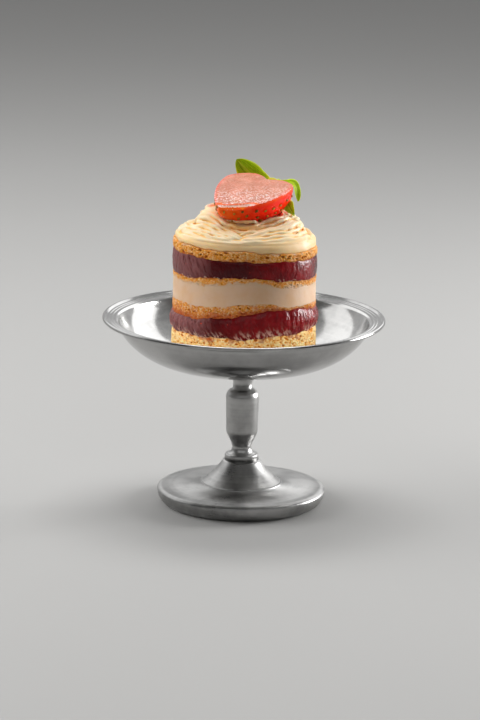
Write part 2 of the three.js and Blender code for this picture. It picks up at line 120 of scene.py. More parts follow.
# Faces between the cake's layers, bottom to top: height, lean towards a bearing and a hump at another,
# in millimetres and degrees, with 270 at the front.
Face = namedtuple("Face", "height lean lean_to hump hump_at hump_width")
FACES = (
    Face(83.3, 1.0, 335, -1.0, 268, 7),
    Face(91.1, 1.1, 340, 4.1, 297, 42),
    Face(96.4, 0.4, 215, 3.0, 279, 24),
    Face(105.3, 0.8, 190, 3.3, 274, 24),
    Face(107.8, 0.6, 200, 3.0, 268, 38),
    Face(117.6, 1.3, 190, 0.5, 295, 30),
    Face(121.6, 1.6, 190, 0.9, 272, 12),
)
# How far the edge of each face strays, in millimetres.
FACE_STRAY = (0.45, 0.5, 0.4, 0.35, 0.4, 0.35, 0.4)
STRAY_WAVES = (9, 14, 22, 31, 47, 71)

# Layers, bottom to top, in millimetres: radius, bulge of the side, how far its edges are tucked in, and
# the relief of its side. Only sponge has pores and crumbs.
Layer = namedtuple(
    "Layer", "node slot radius bulge tuck crag_size squash crag_height pore_size pore_depth crumbs"
)
LAYERS = (
    Layer("sponge_bottom", "sponge", 32.5, 0.2, 0.35, 3.0, 1.0, 0.3, 2.4, 0.75, 0.3),
    Layer("jam_lower", "jam", 32.6, 1.0, 0.5, 1.9, 0.5, 0.5, 1.0, 0.0, 0.0),
    Layer("sponge_lower", "sponge", 32.2, 0.1, 0.0, 3.0, 1.0, 0.3, 2.3, 0.65, 0.3),
    Layer("cream_middle", "cream", 32.2, 0.0, 0.0, 7.0, 1.0, 0.12, 1.0, 0.0, 0.0),
    Layer("sponge_thin", "sponge", 32.2, 0.1, 0.0, 2.5, 1.0, 0.25, 2.0, 0.5, 0.2),
    Layer("jam_upper", "jam", 32.3, 0.25, 0.3, 1.6, 0.55, 0.28, 1.0, 0.0, 0.0),
    Layer("sponge_top", "sponge", 32.3, 0.2, 0.3, 3.0, 1.0, 0.3, 2.7, 0.8, 0.3),
)
LAYER_COLUMNS = 840
LAYER_STEP = 0.25 * MM
LAYER_LEAST_ROWS = 6
CAP_SHARES = (0.55, 0.92)
EDGE_CALM = 0.12
TUCK_POWER = 8
# Jam: how far its streaks lean, in radians for a metre of height, and how they are stretched. It is painted
# ruby round one bearing, as light shining through it would look, and dulled round another by a painted hazy
# reflection: the ways there as flat vectors, and how far out along them each is full.
STREAK_SLANT = 14.0
STREAK_STRETCH = (1.0, 1.0, 0.3)
JAM_LIT_WAY = (math.cos(math.radians(310.0)), math.sin(math.radians(310.0)), 0.0)
JAM_LIT_FULL = 31.0 * MM
JAM_SHEEN_WAY = (math.cos(math.radians(205.0)), math.sin(math.radians(205.0)), 0.0)
JAM_SHEEN_REACH = (24.0 * MM, 30.0 * MM)
SHEEN_SHARE = 0.5
# Loose crumbs: their size, the range of their shapes, and how much side a place has where they may lie.
CRUMB_SIZE = 0.2 * MM
CRUMB_STRETCH = ((0.5, 0.5, 0.4), (1.6, 1.3, 1.0))
CRUMB_SIDE = 0.9
# Pores of the sponge: how far they are flattened, the draws between which their reach grows, that reach as
# shares of their spacing, where inside it they are deepest, and for the large and the small ones how many
# times finer they are than the layer's pore size and how deep.
PORE_FLATTEN = 1.5
PORE_DRAW = (0.15, 0.85)
PORE_REACH = (0.1, 0.5)
PORE_FLOOR = 0.45
PORE_KINDS = ((1.0, 1.0), (2.2, 0.8))
# Painted shade: pores this deep or deeper are painted fully dark.
PORE_SHADE_DEPTH = 0.65 * MM
# Open crumb between the pores: how many times finer it is, the noise at which it starts and is full, and
# its depth.
OPEN_CRUMB = (1.7, 0.46, 0.34, 0.8)
# How far the edges of jam soak and of smeared cream stray, in layer heights, and how strong the soak is.
SOAK_STRAY = 1.1
SOAK_SHARE = 0.85
SMEAR_STRAY = 2.2
# Where on each sponge jam soaks in and cream is smeared: the shares of its height at which each starts and is
# full. The bottom sponge has no cream on it, so its smear starts out of reach.
BOTTOM_SOAK = (0.88, 1.15)
BOTTOM_SMEAR = (3.0, 4.0)
LOWER_SOAK = (0.75, -0.05)
LOWER_SMEAR = (0.75, 1.25)
THIN_SOAK = (0.75, 1.15)
THIN_SMEAR = (0.5, 0.0)
TOP_SOAK = (0.35, -0.15)
TOP_SMEAR = (0.95, 1.4)

# Cream on top, in metres: a spread disc with a rounded edge, and over it a mound of piped strands with a low
# outer part, the apron, and a steep inner one.
CREAM_RADIUS = 31.7 * MM
CREAM_UNDERCUT = 0.6 * MM
CREAM_WALL = 0.6 * MM
EDGE_WIDTH = 1.8 * MM
EDGE_STEPS = 16
# How the edge wanders in and out: size, waves round it and where they start.
EDGE_WANDER = ((0.2 * MM, 5, 1.0), (0.15 * MM, 9, 0.0))
DISC_TOP = 125.0 * MM
DISC_LEAN = 0.8 * MM
DISC_LEAN_TO = math.radians(215.0)
APRON_CAP = 2.8 * MM
APRON_SLOPE = 0.95
MOUND_RADIUS = 24.1 * MM
MOUND_SHIFT = 1.6 * MM
MOUND_CAP = 7.4 * MM
MOUND_LEAN = 1.4 * MM
MOUND_SLOPE = 2.6
MOUND_RINGS = 70
MOUND_LAST_RING = 0.04
MOUND_MIDDLE = 1.0 * MM
SLOPE_STEPS = 120
FRONT_RADIUS = 26.0 * MM
FRONT_CAP = 7.5 * MM
FRONT_SLOPE = 0.38
FRONT_FROM = -0.2
FRONT_FULL = 0.9
DENT_PLACE = (-1.5 * MM, -18.5 * MM)
DENT_SIZE = (6.5 * MM, 3.2 * MM)
DENT_DEPTH = 1.2 * MM
CORE_COLUMNS = 240
CORE_CAP = 0.55
CORE_DROP = 0.7 * MM
CORE_DROP_EASE = 10.0
STRAND_DROP = 0.05 * MM
END_SINK = 0.9 * MM
HOLLOW_PASSES = 40
# Painted shade: the golden hollow tone is also painted on the disc's wall, fading out between these heights.
WALL_FADE = (DISC_TOP + 2.2 * MM, DISC_TOP + 0.6 * MM)
WALL_SHADE = 0.075 * MM
# Painted shadow: golden tone round the dent under the strawberry, as if shaded by it, and how far it spreads.
SHADOW_UNDER_BERRY = 0.13 * MM
SHADOW_UNDER_BERRY_SPREAD = 1.6
EDGE_SQUARE = 0.6
STRAND_POINTS = 120
STRAND_STEP = 0.5 * MM
STRAND_SIDES = 10
STRAND_WOBBLE = 0.25 * MM
STRAND_LIFT_WOBBLE = 0.12 * MM
STRAND_WAVES = ((1.5, 3.0), (3.5, 7.0))
STRAND_THICKNESS = (0.8, 1.3)
STRAND_THICKNESS_WOBBLE = 0.07
STRAND_ENDS = 0.1
STRAND_END_LENGTH = 0.14
STRAND_END_THINNING = 0.4
# Bundles of strands: the first and the last strand of each, through (bearing, way up the slope, lift) in
# degrees and millimetres, with the others spaced between them.
Bundle = namedtuple("Bundle", "strands first last")
BUNDLES = (
    Bundle(
        2,
        ((178, 0, 0.3), (210, 0, 0.4), (240, 0, 0.4), (270, 0, 0.4),
         (300, 0, 0.4), (330, 0, 0.4), (356, 0, 0.3)),
        ((178, 1.9, 0), (210, 1.7, 0), (240, 1.3, 0), (270, 1.1, 0),
         (300, 1.2, 0), (330, 1.5, 0), (356, 1.9, 0)),
    ),
    Bundle(
        5,
        ((170, 2.2, 0), (196, 2.8, 0.2), (220, 3.8, 0.3), (238, 2.8, 0.3), (254, 1.4, 0.2), (276, 0.6, 0)),
        ((176, 10, 0), (200, 13, 0.2), (222, 13, 0.3), (240, 11.2, 0.4), (254, 8, 0.3), (274, 4, 0)),
    ),
    Bundle(
        4,
        ((95, 7, 0), (140, 7, 0), (175, 8.6, 0), (196, 14.5, 0),
         (216, 16, 0.2), (236, 14.5, 0.2), (250, 13, 0)),
        ((95, 17, 0), (140, 17, 0), (175, 17.5, 0), (200, 19, 0),
         (220, 20, 0), (240, 19.5, 0), (256, 19, 0)),
    ),
    Bundle(
        4,
        ((254, 0.4, 0), (272, 0.8, 0), (292, 1.8, 0.2), (316, 1.8, 0.2), (338, 1.5, 0), (366, 1.2, 0)),
        ((258, 4.5, 0), (276, 6, 0.2), (294, 8.6, 0.3), (314, 9, 0.2), (336, 9.2, 0), (366, 9, 0)),
    ),
    Bundle(
        3,
        ((258, 6.5, -0.2), (276, 8.6, 0.2), (296, 10.2, 0.3), (316, 10.8, 0.2), (338, 11, 0), (366, 10.6, 0)),
        ((264, 12.5, -0.2), (282, 15, 0.1), (300, 17, 0.1), (318, 17, 0), (338, 16.5, 0), (366, 16, 0)),
    ),
    Bundle(
        3,
        ((238, 12, 0), (256, 10, -0.2), (270, 9.4, -0.2), (288, 9.6, 0)),
        ((228, 18, 0.8), (252, 17.5, 1), (274, 17.5, 1), (304, 18, 0.8)),
    ),
    Bundle(
        5,
        ((340, 10, 0), (368, 8, 0), (396, 6.8, 0), (428, 6.6, 0)),
        ((340, 17, 0), (372, 17, 0), (400, 17, 0), (432, 17, 0)),
    ),
    Bundle(
        3,
        ((338, 0.8, 0), (362, 0.8, 0), (390, 0.8, 0), (424, 0.8, 0), (468, 0.8, 0)),
        ((338, 8.4, 0), (362, 7, 0), (390, 6, 0), (424, 6, 0), (468, 6, 0)),
    ),
    Bundle(6, ((404, 6.8, 0), (440, 6.8, 0), (480, 6.8, 0)), ((404, 17, 0), (440, 17, 0), (480, 17, 0))),
    Bundle(
        5,
        ((84, 0.8, 0), (125, 0.8, 0), (165, 0.8, 0), (204, 1.2, 0)),
        ((84, 6, 0), (125, 6, 0), (165, 6.4, 0), (200, 7, 0)),
    ),
)

# Strawberry half, in metres, in a frame of its own: +X to the tip and +Z out of the cut face.
BERRY_MIDDLE = Vector((-0.6 * MM, -3.0 * MM, 144.6 * MM))
BERRY_HEADING = math.radians(232.4)
BERRY_TILT = math.radians(12.5)
BERRY_ROLL = math.radians(-2.7)
BERRY_BLUNT = 0.84
# The two sides of the cut face, right of the tip and left of it: half width as a share of the width, share of
# that at the stem end, where along it is widest, how late it tapers, and how far its stem corner is rounded.
Side = namedtuple("Side", "half shoulder widest taper corner")
BERRY_SIDES = (Side(0.526, 0.62, 0.24, 1.6, 0.1), Side(0.474, 0.86, 0.35, 2.6, 0.3))
CORNER_LENGTH = 0.11
NOTCH_DEPTH = 2.4 * MM
NOTCH_WIDTH = 3.4 * MM
NOTCH_REACH = 0.2
BELLY_DEEPEN = 0.72
BELLY_FULL = 0.88
BERRY_STATIONS = 70
BERRY_BELLY_POINTS = 60
BERRY_FACE_POINTS = 24
BERRY_VOXEL = 0.3 * MM
BERRY_SMOOTHING = 5
CUT_EDGE_POINTS = 400
CUT_END_POINTS = 60
# Where the skin becomes the cut face: how far up it faces, and its height.
CUT_FACING = (0.25, 0.55)
CUT_HEIGHT = (-2.0 * MM, -1.0 * MM)
CUT_SLOPE_BEARING = math.radians(26.0)
CUT_SLOPE_SPREAD = math.radians(28.0)
CUT_SLOPE_WIDTH = 3.8 * MM
CUT_SLOPE_DROP = 1.7 * MM
SEED_SPACING = 4.9 * MM
SEED_ROWS = 5
SEED_TOP = math.radians(15.5)
SEED_DROP = math.radians(15.0)
SEED_CLEAR = 3.2 * MM
SEED_SIZE = (0.78 * MM, 0.52 * MM, 0.38 * MM)
SEED_VARY = ((0.8, 0.8, 0.8), (1.2, 1.2, 1.2))
SEED_DRAW = 5
SEED_STAGGER = (0.8, 0.3)
SEED_STRAY = 0.1
SEED_SWAY = 0.03
DIMPLE_RADIUS = 1.15 * MM
DIMPLE_DEPTH = 0.4 * MM

# Calyx, in metres: a hub at the stem end, with leaves that curl away from it.
HUB_SIZE = (1.4 * MM, 3.6 * MM, 2.6 * MM)
HUB_DROP = 3.4 * MM
HUB_GAP = 0.3 * MM
HUB_ROWS = 14
HUB_COLUMNS = 24
HUB_ALONG = 0.2
LEAF_STATIONS = 44
LEAF_COLUMNS = 14
LEAF_THICKNESS = 0.4 * MM
LEAF_EDGE_THINNING = 0.75
LEAF_CUP = 0.7 * MM
LEAF_WAVE = 0.25 * MM
LEAF_WAVES = 2.5
LEAF_ROOT = 0.3
LEAF_TIP = 0.03
# Each leaf, in millimetres: the points after the hub that its midrib runs through, its half width, the way
# that it faces, where along it is widest, how late it narrows from there and how pointed its tip is.
Leaf = namedtuple("Leaf", "through half facing widest taper point")
LEAVES = (
    Leaf(
        ((9.5, 19.8, 145.2), (4.6, 21.2, 146.8), (0.0, 21.8, 150.2), (-4.6, 22.0, 154.8)),
        4.9, (-0.1, -1.0, 0.25), 0.62, 2.4, 0.75,
    ),
    Leaf(((18.0, 12.0, 146.2), (22.0, 9.0, 145.6), (23.4, 7.4, 138.6)), 2.1, (0.6, -0.7, 0.4), 0.6, 2.2, 0.7),
    Leaf(
        ((16.5, 7.5, 141.0), (18.0, 1.5, 138.5), (21.8, -3.4, 133.9)),
        3.2, (0.3, -0.95, 0.25), 0.7, 1.3, 1.0,
    ),
    Leaf(((17.0, 21.3, 145.2), (20.0, 25.5, 141.8)), 3.0, (0.3, 0.5, 0.9), 0.6, 2.2, 0.5),
)

# Fineness of the noises in the materials, in cells for a metre.
STEEL_CLOUD = 70.0
STEEL_WIPE = 400.0
CRUMB_GRAIN = 1100.0
CRUMB_TOAST = 480.0
CRUMB_PATCH = 260.0
JAM_STREAK = 750.0
JAM_LUMP = 240.0
JAM_GLINT = 420.0
JAM_PATCH = 120.0
CREAM_DRIFT = 130.0
CREAM_FLECK = 330.0
CREAM_GRAIN = 1400.0
BERRY_PATCH = 160.0
BERRY_FIBRE = 900.0
BERRY_GRAIN = 1100.0
SEED_TONE = 500.0
FLOOR_CLOUD = 3.0

# Looks: smudges on the steel, painted shade in the hollows and painted highlight on the ridges of the
# cream, flecks, the part of the cut face where painted glints show, and the veins of a leaf.
WIPE_SHARE = 0.25
LINE_ROUGHNESS = 0.12
STAIN_RANGE = (0.38, 0.6)
STAIN_DEPTH = 0.85
HOLLOW_SHADE_FULL = 0.17 * MM
RIDGE_HIGHLIGHT_FULL = -0.11 * MM
SHADE_AND_HIGHLIGHT_SHARE = 0.95
DRIFT_SHADE = (0.97, 0.9, 0.78)
FLECK_DRAW = 0.9
GLINT_FRONT = (6.0 * MM, -12.0 * MM)
SEED_SHADE = (0.3, 0.3, 0.3)
LEAF_SHADE = (0.42, 0.42, 0.42)
VEIN_SLANT = 0.2
VEIN_WAVES = 26.0

# Camera and floor, in metres. The frame is 480 by 720, and the shift is in pixels of it.
FRAME_HEIGHT = 720.0
CAMERA_SHIFT = (-2.9, 14.0)
CAMERA_TARGET = Vector((0.0, 0.0, 60.0 * MM))
CAMERA_REACH = 50.0
FLOOR_HALF = 8.0
FLOOR_SHADE = (0.96, 0.96, 0.96)

# Light, in metres and watts. A box lights the cake, and a card only shows in glossy surfaces. The ambient
# light is dim before the cake and full behind it.
SoftBox = namedtuple("SoftBox", "name place size power lights mirrored")
SOFT_BOXES = (
    SoftBox("left box", (-1.0, 0.08, 0.6), (1.3, 0.9), 11.3, True, False),
    SoftBox("left card", (-0.633, 0.59, 0.59), (1.3, 0.45), 1.85, False, True),
    SoftBox("right box", (0.95, 0.36, 0.27), (0.45, 0.5), 11.5, True, True),
    SoftBox("right card", (0.606, 0.673, 0.52), (1.2, 0.4), 2.3, False, True),
    SoftBox("front card", (0.0, -0.9, 0.62), (1.8, 0.5), 2.0, False, True),
    SoftBox("top box", (0.0, 0.32, 1.15), (0.8, 0.5), 6.5, True, True),
    SoftBox("front fill", (0.0, -1.05, 0.68), (1.2, 0.8), 1.95, True, False),
)
LIGHT_TARGET = (0.0, 0.0, 0.1)
AMBIENT_FADE = (-0.4, 0.8)
AMBIENT_DIM = 0.12
# Light that the polished bowl throws back on the foot of the cake: a ring of small soft lights over the bowl.
BOUNCE_STEP = 45.0
BOUNCE_RADIUS = 55.0 * MM
BOUNCE_HEIGHT = 87.0 * MM
BOUNCE_TARGET = (0.0, 0.0, 20.0 * MM)
BOUNCE_SIZE = (40.0 * MM, 10.0 * MM)
BOUNCE_POWER = 0.0026


def colour_property(name, description, default):
    """A colour among the settings."""
    return FloatVectorProperty(name=name, description=description, subtype="COLOR", default=default)


class DishSettings(bpy.types.PropertyGroup):
    """Sizes and finish of the dish."""

    sides: IntProperty(name="Sides", description="Steps round each turned piece", default=160, min=24)
    steel: colour_property("Steel", "Colour of the metal", (0.44, 0.437, 0.43))
    # Painted light: the steel inside the bowl is painted lighter, as if more brightly lit.
    inner: colour_property("Bowl steel", "Brighter metal inside the bowl", (0.55, 0.545, 0.535))
    polish: FloatProperty(
        name="Bowl roughness", description="Roughness of the polished bowl", subtype="FACTOR", default=0.13
    )
    satin: FloatProperty(
        name="Foot roughness", description="Roughness of foot and stem", subtype="FACTOR", default=0.33
    )
    line_spacing: FloatProperty(
        name="Line spacing", description="Distance between turning lines", unit="LENGTH", default=0.35 * MM
    )


class CakeSettings(bpy.types.PropertyGroup):
    """Colours of the layers of the cake."""

    # Partly painted light: the bottom sponge's crumb and pore rims are lighter, standing in for light from
    # the bowl.
    crumb: colour_property("Crumb", "Crumb of the bottom sponge", (1.0, 0.73, 0.34))
    pale: colour_property("Pale crumb", "Lightest bits of crumb", (1.0, 0.86, 0.48))
    baked: colour_property("Baked crumb", "Crumb of the top sponge", (0.72, 0.25, 0.037))
    soaked: colour_property("Soaked crumb", "Crumb wet with jam", (0.57, 0.16, 0.045))
    # Painted shade: pores darken from orange rims to brown with their depth; rims also tint toasted patches.
    rim: colour_property("Pore rim", "Orange edge of the pores", (0.86, 0.36, 0.03))
    pore: colour_property("Pore", "Browned depth of the pores", (0.33, 0.085, 0.008))
    bottom_rim: colour_property("Bottom pore rim", "Pore edges of the bottom sponge", (0.96, 0.42, 0.05))
    bottom_pore_shade: colour_property("Bottom pore", "Pores of the bottom sponge", (0.42, 0.07, 0.003))
    soak: colour_property("Soak", "Jam that has soaked into crumb", (0.4, 0.065, 0.018))
    jam: colour_property("Jam", "Depth of the jam", (0.05, 0.001, 0.002))
    # Painted light: ruby is painted on the side of the jam where light would shine through it.
    ruby: colour_property("Ruby", "Jam that light passes through", (0.26, 0.003, 0.006))
    # Painted reflection: a pale hazy sheen painted on one side of the jam, where a light would reflect in it.
    hazy_sheen: colour_property("Sheen", "Thin film of cream on the jam", (0.38, 0.155, 0.15))
    glint: colour_property("Glint", "Bright flecks in the jam", (0.8, 0.05, 0.01))
    smear: colour_property("Smear", "Crumb smeared on the jam", (0.72, 0.46, 0.36))
    cream: colour_property("Cream", "Cream between the sponges", (0.74, 0.505, 0.335))


class CreamSettings(bpy.types.PropertyGroup):
    """The piped cream on top."""

    strand_radius: FloatProperty(
        name="Strand radius", description="Half the thickness of a strand", unit="LENGTH", default=1.0 * MM
    )
    voxel: FloatProperty(
        name="Voxel", description="Grain at which strands run together", unit="LENGTH", default=0.34 * MM
    )
    smoothing: IntProperty(name="Smoothing", description="Passes that soften the strands", default=3, min=0)
    cream: colour_property("Cream", "Colour of the piped cream", (0.85, 0.69, 0.44))
    # Painted shade: golden tone painted in the hollows between strands, on the disc's wall and under the
    # strawberry.
    deep: colour_property("Hollows", "Golden tone between strands", (0.9, 0.52, 0.15))
    # Painted highlight: a whiter tone painted on the ridges of the strands.
    ridge_highlight: colour_property("Ridges", "White tone on the strands", (0.92, 0.88, 0.8))
    fleck: colour_property("Flecks", "Tiny flecks in the cream", (0.35, 0.16, 0.05))
    seed: IntProperty(name="Seed", description="Seed of the strands' wander", default=11)


class StrawberrySettings(bpy.types.PropertyGroup):
    """The strawberry half and its leaves."""

    length: FloatProperty(name="Length", description="Stem end to tip", unit="LENGTH", default=39.2 * MM)
    width: FloatProperty(name="Width", description="Across the cut face", unit="LENGTH", default=34.4 * MM)
    depth: FloatProperty(name="Depth", description="From cut face to belly", unit="LENGTH", default=15.5 * MM)
    flesh: colour_property("Flesh", "Cut face", (0.62, 0.225, 0.14))
    skin: colour_property("Skin", "Ripe skin", (1.0, 0.022, 0.005))
    blush: colour_property("Blush", "Skin at the tip and the cut", (1.0, 0.15, 0.012))
    stem_end: colour_property("Stem end", "Pale skin at the stem end", (0.85, 0.62, 0.28))
    gap: colour_property("Gaps", "Cut face between its fibres", (0.62, 0.13, 0.06))
    # Painted highlight: white wet glints painted on the fibres, strongest at the front of the cut face.
    fibre: colour_property("Fibres", "White fibres of the cut face", (1.0, 0.9, 0.87))
    # Painted highlight: a pale band painted on the slope at the cut's front edge.
    bevel: colour_property("Slope", "Pale slope at the cut's edge", (0.95, 0.66, 0.56))
    seed: colour_property("Seeds", "Seeds on the skin", (0.6, 0.3, 0.02))
    leaf: colour_property("Leaf", "Leaves of the calyx", (0.5, 0.76, 0.012))
    vein: colour_property("Veins", "Veins and edges of the leaves", (0.68, 0.74, 0.06))
    leaf_foot: colour_property("Leaf foot", "Leaves next to the hub", (0.9, 0.68, 0.12))


class StageSettings(bpy.types.PropertyGroup):
    """Floor, light and camera."""

    distance: FloatProperty(name="Distance", description="Camera to cake", unit="LENGTH", default=1.5)
    elevation: FloatProperty(
        name="Elevation", description="Camera above the horizon", unit="ROTATION", default=math.radians(13.6)
    )
    roll: FloatProperty(
        name="Roll", description="Turn of the camera on its view", unit="ROTATION", default=math.radians(1.0)
    )
    lens: FloatProperty(name="Lens", description="Focal length in millimetres", default=165.2)
    floor: colour_property("Floor", "Colour of the floor", (0.44, 0.436, 0.427))
    ambient: FloatProperty(name="Ambient", description="Strength of the light behind", default=0.6)


def settings(name):
    """One of the property groups of this scene."""
    return getattr(bpy.context.scene, "mini_cake_" + name)


def rgba(colour):
    """A colour property with full alpha."""
    return (*colour, 1.0)


def smooth_ramp(low, high, value):
    """0 up to low, 1 from high on and a soft S between, for numbers and arrays."""
    share = np.clip((np.asarray(value, float) - low) / (high - low), 0.0, 1.0)
    return share * share * (3.0 - 2.0 * share)


def through(points, count):
    """Points spaced along a smooth curve through the given ones."""
    points = np.asarray(points, float)
    ends = np.vstack([2 * points[0] - points[1], points, 2 * points[-1] - points[-2]])
    spans = len(points) - 1
    place = np.linspace(0.0, spans, count)
    index = np.minimum(place.astype(int), spans - 1)
    t = (place - index)[:, None]
    a, b, c, d = (ends[index + step] for step in range(4))
    return 0.5 * (2 * b + (c - a) * t + (2 * a - 5 * b + 4 * c - d) * t**2 + (3 * b - a - 3 * c + d) * t**3)


def shaded(colour, shares):
    """A colour with each channel at a share of its own."""
    return tuple(channel * share for channel, share in zip(colour, shares))


def add_object(name, data):
    """An object in the scene."""
    added = bpy.data.objects.new(name, data)
    bpy.context.scene.collection.objects.link(added)
    return added


def keep_numbers(mesh, attributes):
    """Keeps one number per point of a mesh in each named attribute."""
    for label, values in attributes.items():
        numbers = np.asarray(values, np.float32)
        mesh.attributes.new(label, "FLOAT", "POINT").data.foreach_set("value", numbers)


def new_piece(name, points, faces, attributes=None, edges=()):
    """A smooth mesh object at the origin, with one number per point in each named attribute."""
    mesh = bpy.data.meshes.new(name)
    mesh.from_pydata(np.asarray(points).tolist(), edges, faces)
    keep_numbers(mesh, attributes or {})
    mesh.shade_smooth()
    return add_object(name, mesh)


def plain_mesh(piece):
    """Makes what the piece's modifiers give its own mesh, and removes them."""
    bpy.context.view_layer.update()
    graph = bpy.context.evaluated_depsgraph_get()
    shown = piece.evaluated_get(graph)
    result = bpy.data.meshes.new_from_object(shown, preserve_all_data_layers=True, depsgraph=graph)
    old = piece.data
    piece.modifiers.clear()
    piece.data = result
    bpy.data.meshes.remove(old)
    result.name = piece.name
    result.shade_smooth()


def run_tree(piece, tree, values):
    """Runs a geometry node tree over a piece, with its inputs given by name, and keeps the result."""
    modifier = piece.modifiers.new(tree.name, "NODES")
    modifier.node_group = tree
    for item in tree.interface.items_tree:
        if item.in_out == "INPUT" and item.name in values:
            modifier[item.identifier] = values[item.name]
    plain_mesh(piece)


def melt(piece, voxel, passes):
    """Runs the shapes in a piece together at a grain, and softens them."""
    remesh = piece.modifiers.new("melt", "REMESH")
    remesh.mode = "VOXEL"
    remesh.voxel_size = voxel
    piece.modifiers.new("soften", "SMOOTH").iterations = passes
    plain_mesh(piece)


def give_material(piece, material):
    """The piece's only material."""
    piece.data.materials.clear()
    piece.data.materials.append(material)


def settle(piece, slot, *nodes):
    """Ties a finished piece to the dish's body, and hides the nodes that it stands for. The slot is not used.
    """
    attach(piece, BODY)
    if nodes:
        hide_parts(*nodes)


def point_array(mesh, name="co"):
    """Places or normals of a mesh's points as an array."""
    values = np.zeros(len(mesh.vertices) * 3)
    source = mesh.vertices if name == "co" else mesh.vertex_normals
    source.foreach_get(name, values)
    return values.reshape(-1, 3)


def ring_stack(rings, start, end):
    """Points and faces of a closed skin over rings of points, with one point closing each end."""
    rows, count = rings.shape[:2]
    points = np.vstack([rings.reshape(-1, 3), [start], [end]])
    first, last = rows * count, rows * count + 1
    top = (rows - 1) * count
    faces = []
    for j in range(count):
        after = (j + 1) % count
        faces.append((first, after, j))
        faces.append((top + j, top + after, last))
        for base in range(0, top, count):
            faces.append((base + j, base + after, base + count + after, base + count + j))
    return points, faces


def ring(turn, radius, height):
    """Points round the axis."""
    return np.stack([radius * np.cos(turn), radius * np.sin(turn), height + 0.0 * turn], axis=-1)


def between(start, end, share):
    """A place on the way from one place of a profile to another."""
    return (start[0] + (end[0] - start[0]) * share, start[1] + (end[1] - start[1]) * share)


def arc(middle, radius, bearings, steps):
    """Places of a profile on part of a circle, between two bearings in degrees."""
    turns = np.radians(np.linspace(*bearings, steps))
    return [(middle[0] + radius * math.cos(t), middle[1] + radius * math.sin(t)) for t in turns]


def bend(start, end, along_radius, count=12):
    """Points of a quarter bend of a profile, leaving start along the radius or along the axis."""
    quarter = np.linspace(0.0, math.pi / 2, count)[1:]
    sine, rest = np.sin(quarter), 1.0 - np.cos(quarter)
    out, up = (sine, rest) if along_radius else (rest, sine)
    return [(start[0] + (end[0] - start[0]) * o, start[1] + (end[1] - start[1]) * u) for o, u in zip(out, up)]


def rounded(corners, steps=6):
    """A profile with its corners rounded: each corner is (radius, height, cut back on both sides)."""
    profile = [corners[0][:2]]
    for before, corner, after in zip(corners, corners[1:], corners[2:]):
        middle = np.array(corner[:2])
        sides = [np.array(side[:2]) - middle for side in (before, after)]
        cut = min([corner[2]] + [np.linalg.norm(side) / 2 for side in sides])
        ends = [middle + side / np.linalg.norm(side) * cut for side in sides]
        for t in np.linspace(0.0, 1.0, steps if cut > 0 else 1):
            profile.append(tuple((1 - t) ** 2 * ends[0] + 2 * t * (1 - t) * middle + t**2 * ends[1]))
    profile.append(corners[-1][:2])
    return profile


def turned(name, profile, sides):
    """A turned piece from a profile of (radius, height) that starts and ends on the axis."""
    turns = np.linspace(0.0, FULL_TURN, sides, endpoint=False)
    inner = np.array(profile[1:-1])
    rings = np.stack(
        [np.outer(inner[:, 0], np.cos(turns)), np.outer(inner[:, 0], np.sin(turns)),
         np.repeat(inner[:, 1:], sides, axis=1)],
        axis=-1,
    )
    points, faces = ring_stack(rings, (0.0, 0.0, profile[0][1]), (0.0, 0.0, profile[-1][1]))
    shares = [inside_share(*place) for place in inner]
    inside = np.append(np.repeat(shares, sides), (0.0, inside_share(*profile[-1])))
    return new_piece(name, points, faces, {"inside": inside})


def inside_share(radius, height):
    """Share of the lighter painted steel: 1 inside the bowl, less on its flange and 0 on its underside and
    below.
    """
    if height < BOWL_FLOOR - BOWL_FLOOR_SLACK or radius > FLANGE_OUTER[0]:
        return 0.0
    if radius > FLANGE_INNER[0]:
        return FLANGE_LIT_SHARE if height > FLANGE_UNDERSIDE + FLANGE_SKIN else 0.0
    turn = math.asin(min(max((radius - BOWL_FLAT) / BOWL_SPREAD, 0.0), 1.0))
    return 1.0 if height > bowl_side(turn, 0.5 * BOWL_WALL)[1] else 0.0


# Node trees, and the kinds of socket that they have.
FLOAT = "NodeSocketFloat"
INTEGER = "NodeSocketInt"
VECTOR = "NodeSocketVector"
COLOUR = "NodeSocketColor"
GEOMETRY = "NodeSocketGeometry"
MATERIAL = "NodeSocketMaterial"


def add_node(tree, kind, inputs=None, **values):
    """Adds a node, sets its own values, and sets or links its inputs by name or number."""
    node = tree.nodes.new(kind)
    for key, value in values.items():
        setattr(node, key, value)
    for key, value in (inputs or {}).items():
        if isinstance(value, bpy.types.NodeSocket):
            tree.links.new(value, node.inputs[key])
        else:
            node.inputs[key].default_value = value
    return node


def maths(tree, operation, first, second=0.0):
    """The output of a Math node."""
    return add_node(tree, "ShaderNodeMath", {0: first, 1: second}, operation=operation).outputs[0]


def product(tree, first, *others):
    """The product of values."""
    for other in others:
        first = maths(tree, "MULTIPLY", first, other)
    return first


def swing(tree, value, size):
    """A noise made to swing about 0, by a size."""
    return product(tree, maths(tree, "SUBTRACT", value, 0.5), size)


def vector_maths(tree, operation, first, second):
    """The vector that a Vector Math node gives; to scale one, the second input is a number."""
    inputs = {0: first, "Scale" if operation == "SCALE" else 1: second}
    return add_node(tree, "ShaderNodeVectorMath", inputs, operation=operation).outputs[0]


def distance_along(tree, place, way):
    """How far a place lies along a way."""
    dot = add_node(tree, "ShaderNodeVectorMath", {0: place, 1: way}, operation="DOT_PRODUCT")
    return dot.outputs["Value"]


def ramp(tree, value, low, high, start=0.0, stop=1.0):
    """A smooth step of a value from one range to another."""
    inputs = {"Value": value, 1: low, 2: high, 3: start, 4: stop}
    return add_node(tree, "ShaderNodeMapRange", inputs, interpolation_type="SMOOTHSTEP").outputs[0]


